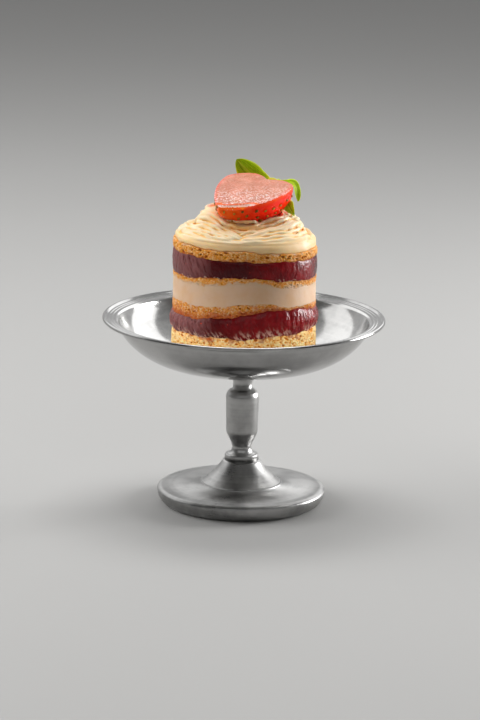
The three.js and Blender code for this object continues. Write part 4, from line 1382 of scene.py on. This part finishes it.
class MINICAKE_OT_dish(bpy.types.Operator):
    """Turns the bowl, the stem and the foot of the dish"""

    bl_idname = "mini_cake.dish"
    bl_label = "Dish"

    def execute(self, context):
        dish = settings("dish")
        turnings = (
            ("dish_bowl", bowl_profile(), steel_material("bowl steel", dish.polish, smudge=0.2, bump=0.1)),
            ("dish_stem", stem_profile(), steel_material("stem steel", dish.satin, smudge=0.3, bump=0.12)),
            ("dish_foot", foot_profile(), steel_material("foot steel", dish.satin, smudge=0.45, bump=0.12)),
        )
        for node, profile, material in turnings:
            piece = turned(node + "_turned", profile, dish.sides)
            give_material(piece, material)
            settle(piece, "steel", node)
        return {"FINISHED"}


# The layers of the cake.


def face_height(index, turn, share):
    """Height of a face between layers; its waves die away towards the middle."""
    face = FACES[index]
    away = (turn - math.radians(face.hump_at) + math.pi) % FULL_TURN - math.pi
    hump = face.hump * np.exp(-((away / math.radians(face.hump_width)) ** 2))
    lean = face.lean * np.cos(turn - math.radians(face.lean_to))
    draw = random.Random(index)
    stray = 0.0
    for k, wave in enumerate(STRAY_WAVES):
        stray = stray + np.sin(wave * turn + draw.uniform(0.0, FULL_TURN)) / (k + 2.0)
    return (face.height + (hump + lean) * share**2 + FACE_STRAY[index] * stray * share**12) * MM


def layer_piece(index):
    """The closed skin of one layer, with how far up its side each point is."""
    layer = LAYERS[index]
    turn = np.linspace(0.0, FULL_TURN, LAYER_COLUMNS, endpoint=False)

    def low(share):
        return face_height(index - 1, turn, share) if index else np.full_like(turn, BOWL_FLOOR)

    def high(share):
        return face_height(index, turn, share)

    bottom, top = low(1.0), high(1.0)
    rows = max(int((top - bottom).max() / LAYER_STEP), LAYER_LEAST_ROWS)
    levels = [(share * layer.radius, low(share), 0.0, 0.0) for share in CAP_SHARES]
    for t in np.linspace(0.0, 1.0, rows):
        tuck = layer.tuck * abs(2 * t - 1) ** TUCK_POWER
        radius = layer.radius + layer.bulge * math.sin(math.pi * t) - tuck
        side = float(smooth_ramp(0.0, EDGE_CALM, min(t, 1 - t)))
        levels.append((radius, bottom + (top - bottom) * t, side, t))
    levels += [(share * layer.radius, high(share), 0.0, 1.0) for share in reversed(CAP_SHARES)]
    rings = np.stack([ring(turn, radius * MM, height) for radius, height, _, _ in levels])
    points, faces = ring_stack(rings, (0, 0, low(0.0).mean()), (0, 0, high(0.0).mean()))
    side = np.append(np.repeat([level[2] for level in levels], LAYER_COLUMNS), (0.0, 0.0))
    height = np.append(np.repeat([level[3] for level in levels], LAYER_COLUMNS), (0.0, 1.0))
    attributes = {"side": side, "height": height, "tone": np.zeros(len(points))}
    return new_piece(layer.node + "_layer", points, faces, attributes)


def lay(node, material):
    """Builds the layer of a node, with its relief, in place of that node."""
    index = [layer.node for layer in LAYERS].index(node)
    layer = LAYERS[index]
    piece = layer_piece(index)
    values = {
        "Crag Size": layer.crag_size * MM, "Crag Squash": layer.squash, "Crag Height": layer.crag_height * MM,
        "Pore Size": layer.pore_size * MM, "Pore Depth": layer.pore_depth * MM,
        "Crumb Density": layer.crumbs / MM**2, "Crumb Size": CRUMB_SIZE,
        "Seed": index + 1, "Material": material,
    }
    run_tree(piece, shared_tree("layer relief", relief_tree), values)
    settle(piece, layer.slot, layer.node)


class MINICAKE_OT_sponges(bpy.types.Operator):
    """Lays the sponge layers, with their open crumb"""

    bl_idname = "mini_cake.sponges"
    bl_label = "Sponges"

    def execute(self, context):
        cake = settings("cake")
        bottom_pores, pores = (cake.bottom_rim, cake.bottom_pore_shade), (cake.rim, cake.pore)
        finishes = {
            # Partly painted light: the bottom sponge is painted lighter than the others, as if lit by the
            # bowl.
            "sponge_bottom": ("bottom sponge", cake.crumb, *bottom_pores, BOTTOM_SOAK, BOTTOM_SMEAR),
            "sponge_lower": ("soaked sponge", cake.soaked, *pores, LOWER_SOAK, LOWER_SMEAR),
            "sponge_thin": ("thin sponge", cake.baked, *pores, THIN_SOAK, THIN_SMEAR),
            "sponge_top": ("top sponge", cake.baked, *pores, TOP_SOAK, TOP_SMEAR),
        }
        for node, finish in finishes.items():
            lay(node, sponge_material(*finish))
        return {"FINISHED"}


class MINICAKE_OT_jams(bpy.types.Operator):
    """Lays the jam layers"""

    bl_idname = "mini_cake.jams"
    bl_label = "Jam"

    def execute(self, context):
        lower = jam_material(
            "lower jam", smear_height=0.45, bump=0.5, glints=0.8, ruby_from=12.0 * MM, shine=0.5
        )
        lay("jam_lower", lower)
        upper = jam_material(
            "upper jam", smear_height=0.03, bump=0.4, glints=0.2, ruby_from=24.0 * MM, shine=0.38
        )
        lay("jam_upper", upper)
        return {"FINISHED"}


class MINICAKE_OT_cream_middle(bpy.types.Operator):
    """Lays the smooth cream between the sponges"""

    bl_idname = "mini_cake.cream_middle"
    bl_label = "Cream layer"

    def execute(self, context):
        material = cream_material("set cream", settings("cake").cream, flecks_share=0.7, bump=0.15)
        lay("cream_middle", material)
        return {"FINISHED"}


# The cream on top.


def front_share(turn):
    """How far a bearing counts as the front of the mound."""
    return smooth_ramp(FRONT_FROM, FRONT_FULL, -np.sin(turn))


def disc_height(turn):
    """Height of the top of the disc's edge."""
    return DISC_TOP + DISC_LEAN * np.cos(turn - DISC_LEAN_TO)


def mound_foot(turn):
    """Radius at which the steep part of the mound starts to rise."""
    return MOUND_RADIUS + (FRONT_RADIUS - MOUND_RADIUS) * front_share(turn) + MOUND_SHIFT * np.cos(turn)


def climb(way, slope, cap):
    """Height of a slope that starts at a way of 0 and levels off at a cap."""
    return cap * np.tanh(slope * np.maximum(way, 0.0) / cap)


def dent_away(x, y):
    """Square of the distance from the middle of the dent, in sizes of the dent."""
    return ((x - DENT_PLACE[0]) / DENT_SIZE[0]) ** 2 + ((y - DENT_PLACE[1]) / DENT_SIZE[1]) ** 2


def mound_height(radius, turn):
    """Height of the mound: steep at the sides, and pressed lower and dented at the front."""
    front = front_share(turn)
    slope = MOUND_SLOPE + (FRONT_SLOPE - MOUND_SLOPE) * front
    side_cap = MOUND_CAP - MOUND_LEAN * np.cos(turn)
    apron = climb(CREAM_RADIUS - EDGE_WIDTH - radius, APRON_SLOPE, APRON_CAP)
    steep = climb(mound_foot(turn) - radius, slope, side_cap + (FRONT_CAP - side_cap) * front)
    dent = DENT_DEPTH * np.exp(-dent_away(radius * np.cos(turn), radius * np.sin(turn)))
    return disc_height(turn) + apron + steep - dent


def mound_point(radius, turn, out):
    """Points that stand out from the mound by a distance along the way that it faces."""
    step = 0.05 * MM
    rise = (mound_height(radius + step, turn) - mound_height(radius - step, turn)) / (2 * step)
    steep = np.sqrt(1.0 + rise**2)
    return ring(turn, radius - rise / steep * out, mound_height(radius, turn) + out / steep)


def slope_radius(turn, way):
    """Radius of points that are a distance up the slope from the edge of the disc."""
    radii = np.linspace(CREAM_RADIUS - EDGE_WIDTH, MOUND_MIDDLE, SLOPE_STEPS) + 0.0 * turn[:, None]
    lengths = np.hypot(np.diff(radii), np.diff(mound_height(radii, turn[:, None])))
    ways = np.hstack([np.zeros((len(turn), 1)), np.cumsum(lengths, axis=1)])
    return np.array([np.interp(*point) for point in zip(way, ways, radii)])


def cream_core():
    """Points and faces of the disc and of the mound under the strands."""
    turn = np.linspace(0.0, FULL_TURN, CORE_COLUMNS, endpoint=False)
    top = len(FACES) - 1
    wander = sum(size * np.sin(waves * turn + start) for size, waves, start in EDGE_WANDER)
    foot = face_height(top, turn, 1.0)
    rise = disc_height(turn) - foot - CREAM_WALL
    cap = (CORE_CAP * CREAM_RADIUS, face_height(top, turn, CORE_CAP))
    levels = [cap, (CREAM_RADIUS - CREAM_UNDERCUT, foot)]
    for quarter in np.linspace(0.0, math.pi / 2, EDGE_STEPS):
        drawn_in = EDGE_WIDTH * (1.0 - abs(math.cos(quarter)) ** EDGE_SQUARE)
        height = foot + CREAM_WALL + rise * math.sin(quarter) ** EDGE_SQUARE
        levels.append((CREAM_RADIUS + wander - drawn_in, height))
    rings = [ring(turn, radius, height) for radius, height in levels]
    for share in np.linspace(1.0, MOUND_LAST_RING, MOUND_RINGS):
        radius = (CREAM_RADIUS - EDGE_WIDTH) * share
        rings.append(mound_point(radius, turn, -CORE_DROP * min(1.0, CORE_DROP_EASE * (1.0 - share))))
    middle = DISC_TOP + APRON_CAP + FRONT_CAP / 2
    return ring_stack(np.array(rings), (0, 0, face_height(top, 0.0, 0.0)), (0, 0, middle))


def hollow_depth(mesh, passes):
    """How far each point lies below the softened surface round it."""
    points, normals = point_array(mesh), point_array(mesh, "vector")
    ends = np.zeros(len(mesh.edges) * 2, int)
    mesh.edges.foreach_get("vertices", ends)
    ends = np.vstack([ends.reshape(-1, 2), ends.reshape(-1, 2)[:, ::-1]])
    count = np.bincount(ends[:, 0], minlength=len(points))
    soft = points
    for _ in range(passes):
        sums = [np.bincount(ends[:, 0], soft[ends[:, 1], axis], len(points)) for axis in range(3)]
        soft = np.stack(sums, axis=1) / count[:, None]
    return np.sum((soft - points) * normals, axis=1)


def strand_line(points, draw):
    """A strand over the mound through (bearing, way up, lift), with its own wander, and its thickness."""
    path = through(points, STRAND_POINTS)
    path = path[int(draw.uniform(0.0, STRAND_ENDS) * STRAND_POINTS):]
    path = path[:len(path) - int(draw.uniform(0.0, STRAND_ENDS) * STRAND_POINTS)]
    along = np.linspace(0.0, 1.0, len(path))

    def wander(size):
        waves = [draw.uniform(*bounds) for bounds in STRAND_WAVES]
        total = 0.0
        for k, wave in enumerate(waves):
            total = total + size / (k + 1) * np.sin(FULL_TURN * (wave * along + draw.random()))
        return total

    turn = np.radians(path[:, 0])
    radius = slope_radius(turn, np.maximum(path[:, 1] * MM + wander(STRAND_WOBBLE), 0.0))
    end = 1.0 - smooth_ramp(0.0, STRAND_END_LENGTH, np.minimum(along, 1.0 - along))
    out = path[:, 2] * MM - STRAND_DROP - END_SINK * end + wander(STRAND_LIFT_WOBBLE)
    line = mound_point(radius, turn, out)
    thickness = draw.uniform(*STRAND_THICKNESS) + wander(STRAND_THICKNESS_WOBBLE)
    return line, settings("cream").strand_radius * thickness * (1.0 - STRAND_END_THINNING * end)


def strand_lines():
    """All strands of the bundles as one mesh of lines."""
    draw = random.Random(settings("cream").seed)
    points, edges, thickness = [], [], []
    for bundle in BUNDLES:
        first, last = np.array(bundle.first, float), np.array(bundle.last, float)
        for share in np.linspace(0.0, 1.0, bundle.strands):
            line, thick = strand_line(first + (last - first) * share, draw)
            base = len(points)
            points += line.tolist()
            thickness += thick.tolist()
            edges += [(base + i, base + i + 1) for i in range(len(line) - 1)]
    return new_piece("cream_strands", points, [], {"thickness": thickness}, edges)


class MINICAKE_OT_cream_top(bpy.types.Operator):
    """Spreads the cream on top and pipes the strands over it"""

    bl_idname = "mini_cake.cream_top"
    bl_label = "Piped cream"

    def execute(self, context):
        cream = settings("cream")
        material = cream_material("piped cream", cream.cream, flecks_share=0.0, bump=0.2)
        strands = strand_lines()
        run_tree(strands, shared_tree("piped strands", strand_tree), {"Material": material})
        piece = new_piece("cream_top_piped", *cream_core())
        joined = bmesh.new()
        joined.from_mesh(piece.data)
        joined.from_mesh(strands.data)
        joined.to_mesh(piece.data)
        joined.free()
        bpy.data.objects.remove(strands)
        melt(piece, cream.voxel, cream.smoothing)
        points = point_array(piece.data)
        # Painted shade on the disc's wall and painted shadow under the strawberry join the hollow depth that
        # the material reads.
        side = smooth_ramp(*WALL_FADE, points[:, 2])
        under_berry_shadow = np.exp(-dent_away(points[:, 0], points[:, 1]) / SHADOW_UNDER_BERRY_SPREAD**2)
        tone = np.maximum(WALL_SHADE * side, SHADOW_UNDER_BERRY * under_berry_shadow)
        keep_numbers(piece.data, {"hollow": np.maximum(hollow_depth(piece.data, HOLLOW_PASSES), tone)})
        give_material(piece, material)
        settle(piece, "cream", "cream_top")
        return {"FINISHED"}


# The strawberry half.


def berry_place():
    """Where the strawberry's own frame lies on the cake."""
    turn = Matrix.Rotation(BERRY_ROLL, 4, "Y") @ Matrix.Rotation(BERRY_TILT, 4, "X")
    return Matrix.Translation(BERRY_MIDDLE) @ turn @ Matrix.Rotation(BERRY_HEADING, 4, "Z")


def side_shape(side, share):
    """Share of its half width that a side has at a share of the length from the stem end."""
    share = np.asarray(share, float)
    swell = side.shoulder + (1.0 - side.shoulder) * np.sin(math.pi / 2 * np.minimum(share / side.widest, 1.0))
    short = np.clip(1.0 - share / CORNER_LENGTH, 0.0, 1.0)
    swell = swell - side.corner * (1.0 - np.sqrt(1.0 - short**2))
    taper = np.clip((share - side.widest) / (1.0 - side.widest), 0.0, 1.0)
    return np.where(share < side.widest, swell, (1.0 - taper**side.taper) ** BERRY_BLUNT)


def berry_shape(share):
    """Mean of the two sides' shapes."""
    return sum(side_shape(side, share) for side in BERRY_SIDES) / len(BERRY_SIDES)


def belly_point(share, turn):
    """A point of the belly in the strawberry's frame."""
    berry = settings("strawberry")
    side = BERRY_SIDES[1 if math.cos(turn) > 0 else 0]
    half = berry.width * side.half * side_shape(side, share)
    across = half * math.copysign(abs(math.cos(turn)) ** BELLY_FULL, math.cos(turn))
    deep = berry.depth * berry_shape(share)**BELLY_DEEPEN
    down = deep * math.copysign(abs(math.sin(turn)) ** BELLY_FULL, math.sin(turn))
    return np.array(((share - 0.5) * berry.length + notch(across, share), across, down), float)


def belly_normal(share, turn, step=0.01):
    """The way that the belly faces at a point."""
    here = belly_point(share, turn)
    along = belly_point(share + step, turn) - here
    around = belly_point(share, turn + step) - here
    out = np.cross(around, along)
    return out / np.linalg.norm(out)


def seed_places():
    """Places and facings of seeds in staggered rows along the belly, from both edges of the cut down."""
    berry = settings("strawberry")
    draw = random.Random(SEED_DRAW)
    count = round(berry.length / SEED_SPACING)
    found = []
    for row in range(SEED_ROWS):
        drop = SEED_TOP + SEED_DROP * row
        for turn in (math.pi + drop, FULL_TURN - drop):
            for i in range(count):
                share = (i + SEED_STAGGER[row % 2] + draw.uniform(-SEED_STRAY, SEED_STRAY)) / count
                place = belly_point(share, turn + draw.uniform(-SEED_SWAY, SEED_SWAY))
                if all(np.linalg.norm(place - other) > SEED_CLEAR for other, _ in found):
                    found.append((place, belly_normal(share, turn)))
    return np.array([place for place, _ in found]), np.array([facing for _, facing in found])


def notch(across, share):
    """How far the stem end is drawn in at a place across it."""
    return NOTCH_DEPTH * np.exp(-((across / NOTCH_WIDTH) ** 2)) * max(1.0 - share / NOTCH_REACH, 0.0)


def berry_body():
    """The closed half strawberry in its own frame, with a sharp cut edge."""
    stations = np.sin(np.linspace(0.0, math.pi / 2, BERRY_STATIONS))[:-1]
    round_belly = np.linspace(0.0, 1.0, BERRY_BELLY_POINTS)
    over_face = np.linspace(0.0, 1.0, BERRY_FACE_POINTS)[1:-1]
    rings = []
    for share in stations:
        belly = [belly_point(share, math.pi * (1.0 + s)) for s in round_belly]
        face = [belly[-1] + (belly[0] - belly[-1]) * s for s in over_face]
        rings.append(belly + [point + (notch(point[1], share), 0.0, 0.0) for point in face])
    berry = settings("strawberry")
    end = berry.length / 2
    start = (notch(0.0, 0.0) - end, 0.0, -berry.depth * float(berry_shape(0.0)) / 2)
    points, faces = ring_stack(np.array(rings), start, (end, 0.0, 0.0))
    return new_piece("strawberry_half_flesh", points, faces)


def cut_outline():
    """Points along the edge of the cut face."""
    edge = np.sin(np.linspace(0.0, math.pi / 2, CUT_EDGE_POINTS))
    halves = [belly_point(share, turn) for turn in (0.0, math.pi) for share in edge]
    ends = np.linspace(halves[0], halves[len(edge)], CUT_END_POINTS)
    return np.vstack([halves, ends])


def nearest(points, places):
    """For each point, the distance to the nearest place."""
    tree = kdtree.KDTree(len(places))
    for i, place in enumerate(places):
        tree.insert(place, i)
    tree.balance()
    return np.array([tree.find(point)[2] for point in points])


def shape_berry(mesh, seeds):
    """Dimples the skin, slopes the cut to the front, and keeps the values that the material reads."""
    berry = settings("strawberry")
    points, normals = point_array(mesh), point_array(mesh, "vector")
    cut = smooth_ramp(*CUT_FACING, normals[:, 2]) * smooth_ramp(*CUT_HEIGHT, points[:, 2])
    inward = nearest(points * (1, 1, 0), cut_outline())
    bearing = np.arctan2(points[:, 1], points[:, 0])
    facing = np.exp(-(((bearing - CUT_SLOPE_BEARING) / CUT_SLOPE_SPREAD) ** 4))
    slope = CUT_SLOPE_DROP * facing * (1.0 - smooth_ramp(0.0, CUT_SLOPE_WIDTH, inward)) * cut
    hollow = DIMPLE_DEPTH * np.exp(-((nearest(points, seeds) / DIMPLE_RADIUS) ** 2)) * (1.0 - cut)
    points = points - normals * hollow[:, None]
    points[:, 2] -= slope
    mesh.vertices.foreach_set("co", points.ravel())
    keep_numbers(mesh, {
        "cut": cut, "along": points[:, 0] / berry.length + 0.5, "inward": inward, "drop": -points[:, 2],
        "slope": slope / CUT_SLOPE_DROP,
    })
    mesh.update()


class MINICAKE_OT_strawberry(bpy.types.Operator):
    """Sets the strawberry half on the cream, with its seeds"""

    bl_idname = "mini_cake.strawberry"
    bl_label = "Strawberry"

    def execute(self, context):
        places, facings = seed_places()
        piece = berry_body()
        melt(piece, BERRY_VOXEL, BERRY_SMOOTHING)
        shape_berry(piece.data, places)
        piece.data.transform(berry_place())
        give_material(piece, berry_material())
        settle(piece, "strawberry", "strawberry_half")
        seeds = new_piece("strawberry_seeds", places, [])
        turned_out = seeds.data.attributes.new("facing", "FLOAT_VECTOR", "POINT")
        turned_out.data.foreach_set("vector", facings.astype(np.float32).ravel())
        run_tree(seeds, shared_tree("strawberry seeds", seed_tree), {"Material": seed_material()})
        seeds.data.transform(berry_place())
        settle(seeds, "strawberry")
        return {"FINISHED"}


# The leaves.


def leaf_skin(hub, leaf):
    """Points, faces and the place along and across of one leaf: a thin cupped sheet along its midrib."""
    midrib = through([hub, *(np.array(p) * MM for p in leaf.through)], LEAF_STATIONS)
    tangents = np.gradient(midrib, axis=0)
    tangents /= np.linalg.norm(tangents, axis=1)[:, None]
    columns = np.linspace(1.0, -1.0, LEAF_COLUMNS + 1)
    rings, along, across = [], [], []
    for i, t in enumerate(np.linspace(0.0, 1.0, LEAF_STATIONS)):
        sideways = np.cross(leaf.facing, tangents[i])
        sideways /= np.linalg.norm(sideways)
        up = np.cross(tangents[i], sideways)
        widen = LEAF_ROOT + (1.0 - LEAF_ROOT) * float(smooth_ramp(0.0, leaf.widest, t))
        narrow = max((t - leaf.widest) / (1.0 - leaf.widest), 0.0)
        reach = leaf.half * MM * widen * (1.0 + LEAF_TIP - narrow**leaf.taper) ** leaf.point
        wave = LEAF_WAVE * math.sin(FULL_TURN * LEAF_WAVES * t)
        sheet = {}
        thin = LEAF_THICKNESS / 2 * (1.0 - LEAF_EDGE_THINNING * np.abs(columns) ** 3)
        for face in (1.0, -1.0):
            lift = face * thin + LEAF_CUP * columns**2 + wave * columns
            sheet[face] = midrib[i] + np.outer(reach * columns, sideways) + np.outer(lift, up)
        rings.append(np.vstack([sheet[1.0], sheet[-1.0][::-1]]))
        along += [t] * (2 * len(columns))
        across += [*columns, *columns[::-1]]
    points, faces = ring_stack(np.array(rings), midrib[0], midrib[-1])
    return points, faces, along + [0.0, 1.0], across + [0.0, 0.0]


def hub_skin(middle):
    """Points and faces of the small hub, as a ball in the strawberry's frame."""
    falls = np.linspace(0.0, math.pi, HUB_ROWS)[1:-1]
    turns = np.linspace(0.0, FULL_TURN, HUB_COLUMNS, endpoint=False)
    ball = np.array([ring(turns, math.sin(fall), -math.cos(fall)) for fall in falls])
    points, faces = ring_stack(ball, (0.0, 0.0, -1.0), (0.0, 0.0, 1.0))
    place = berry_place()
    return np.array([place @ Vector(point * HUB_SIZE + middle) for point in points]), faces


class MINICAKE_OT_calyx(bpy.types.Operator):
    """Grows the leaves at the strawberry's stem end"""

    bl_idname = "mini_cake.calyx"
    bl_label = "Leaves"

    def execute(self, context):
        outset = settings("strawberry").length / 2 + HUB_SIZE[0] + HUB_GAP
        middle = np.array((-outset, 0.0, -HUB_DROP))
        points, faces = hub_skin(middle)
        along, across = [HUB_ALONG] * len(points), [0.0] * len(points)
        hub = np.array(berry_place() @ Vector(middle))
        for leaf in LEAVES:
            leaf_points, leaf_faces, leaf_along, leaf_across = leaf_skin(hub, leaf)
            faces += [tuple(corner + len(points) for corner in face) for face in leaf_faces]
            points = np.vstack([points, leaf_points])
            along += leaf_along
            across += leaf_across
        piece = new_piece("calyx_leaves", points, faces, {"along": along, "across": across})
        give_material(piece, leaf_material())
        settle(piece, "leaf", "calyx")
        return {"FINISHED"}


# The stage.


def add_light(light, target):
    """A rectangular soft light that faces a point, and lights it, shows in glossy surfaces, or both."""
    data = bpy.data.lights.new(light.name, "AREA")
    data.shape = "RECTANGLE"
    data.size, data.size_y = light.size
    data.energy = light.power
    lamp = add_object(light.name, data)
    lamp.location = light.place
    lamp.visible_camera = False
    lamp.visible_diffuse = light.lights
    lamp.visible_glossy = light.mirrored
    lamp.rotation_euler = (Vector(target) - Vector(light.place)).to_track_quat("-Z", "Y").to_euler()


def add_floor():
    """A wide pale floor under the foot."""
    corners = [(-1.0, -1.0, 0.0), (1.0, -1.0, 0.0), (1.0, 1.0, 0.0), (-1.0, 1.0, 0.0)]
    floor = new_piece("floor", np.array(corners) * FLOOR_HALF, [(0, 1, 2, 3)])
    material, tree, shader = new_material("pale floor", Roughness=0.7, Specular_IOR_Level=0.2)
    pale = settings("stage").floor
    cloud = noise(tree, object_place(tree), FLOOR_CLOUD, 3.0)
    colour = blend_colour(tree, cloud, rgba(shaded(pale, FLOOR_SHADE)), rgba(pale))
    tree.links.new(colour, shader.inputs["Base Color"])
    give_material(floor, material)


def add_camera():
    """The camera at the photograph's viewing angle."""
    stage = settings("stage")
    data = bpy.data.cameras.new("camera")
    data.lens = stage.lens
    data.shift_x, data.shift_y = (shift / FRAME_HEIGHT for shift in CAMERA_SHIFT)
    data.clip_end = CAMERA_REACH
    camera = add_object("camera", data)
    back = Vector((0.0, -math.cos(stage.elevation), math.sin(stage.elevation)))
    camera.location = CAMERA_TARGET + back * stage.distance
    look = (-back).to_track_quat("-Z", "Y").to_matrix().to_4x4() @ Matrix.Rotation(stage.roll, 4, "Z")
    camera.rotation_euler = look.to_euler()
    bpy.context.scene.camera = camera


def add_ambient():
    """A soft grey light, bright behind the cake and dim before it."""
    world = bpy.data.worlds.new("studio")
    world.use_nodes = True
    tree = world.node_tree
    background = tree.nodes["Background"]
    place = add_node(tree, "ShaderNodeTexCoord").outputs["Generated"]
    back = add_node(tree, "ShaderNodeSeparateXYZ", {0: place}).outputs[1]
    tree.links.new(grey(tree, ramp(tree, back, *AMBIENT_FADE, AMBIENT_DIM, 1.0)), background.inputs["Color"])
    background.inputs["Strength"].default_value = settings("stage").ambient
    bpy.context.scene.world = world


class MINICAKE_OT_stage(bpy.types.Operator):
    """Sets up the floor, the soft studio light and the camera"""

    bl_idname = "mini_cake.stage"
    bl_label = "Stage"

    def execute(self, context):
        add_floor()
        add_camera()
        add_ambient()
        for light in SOFT_BOXES:
            add_light(light, LIGHT_TARGET)
        for turn in np.radians(np.arange(0.0, 360.0, BOUNCE_STEP)):
            place = (BOUNCE_RADIUS * math.cos(turn), BOUNCE_RADIUS * math.sin(turn), BOUNCE_HEIGHT)
            bounce = SoftBox("bowl bounce", place, BOUNCE_SIZE, BOUNCE_POWER, lights=True, mirrored=False)
            add_light(bounce, BOUNCE_TARGET)
        context.scene.view_settings.view_transform = "Standard"
        return {"FINISHED"}


class MINICAKE_PT_panel(bpy.types.Panel):
    """Lists the pieces of the mini cake and their settings"""

    bl_idname = "MINICAKE_PT_panel"
    bl_label = "Mini Cake"
    bl_space_type = "VIEW_3D"
    bl_region_type = "UI"
    bl_category = "Mini Cake"

    def draw(self, context):
        for operator in OPERATORS:
            self.layout.operator(operator.bl_idname)
        for name, group in SETTINGS.items():
            box = self.layout.box()
            for label in group.__annotations__:
                box.prop(settings(name), label)


SETTINGS = {
    "dish": DishSettings,
    "cake": CakeSettings,
    "cream": CreamSettings,
    "strawberry": StrawberrySettings,
    "stage": StageSettings,
}
OPERATORS = (
    MINICAKE_OT_dish,
    MINICAKE_OT_sponges,
    MINICAKE_OT_jams,
    MINICAKE_OT_cream_middle,
    MINICAKE_OT_cream_top,
    MINICAKE_OT_strawberry,
    MINICAKE_OT_calyx,
    MINICAKE_OT_stage,
)
CLASSES = (*SETTINGS.values(), *OPERATORS, MINICAKE_PT_panel)


def register():
    """Registers the classes and hangs the settings on the scene."""
    for item in CLASSES:
        bpy.utils.register_class(item)
    for name, group in SETTINGS.items():
        setattr(bpy.types.Scene, "mini_cake_" + name, PointerProperty(type=group))


def unregister():
    """Takes the settings off the scene and unregisters the classes."""
    for name in SETTINGS:
        delattr(bpy.types.Scene, "mini_cake_" + name)
    for item in reversed(CLASSES):
        bpy.utils.unregister_class(item)


def main():
    """Builds every piece."""
    register()
    bpy.ops.mini_cake.dish()
    bpy.ops.mini_cake.sponges()
    bpy.ops.mini_cake.jams()
    bpy.ops.mini_cake.cream_middle()
    bpy.ops.mini_cake.cream_top()
    bpy.ops.mini_cake.strawberry()
    bpy.ops.mini_cake.calyx()
    bpy.ops.mini_cake.stage()


if __name__ == "__main__":
    main()
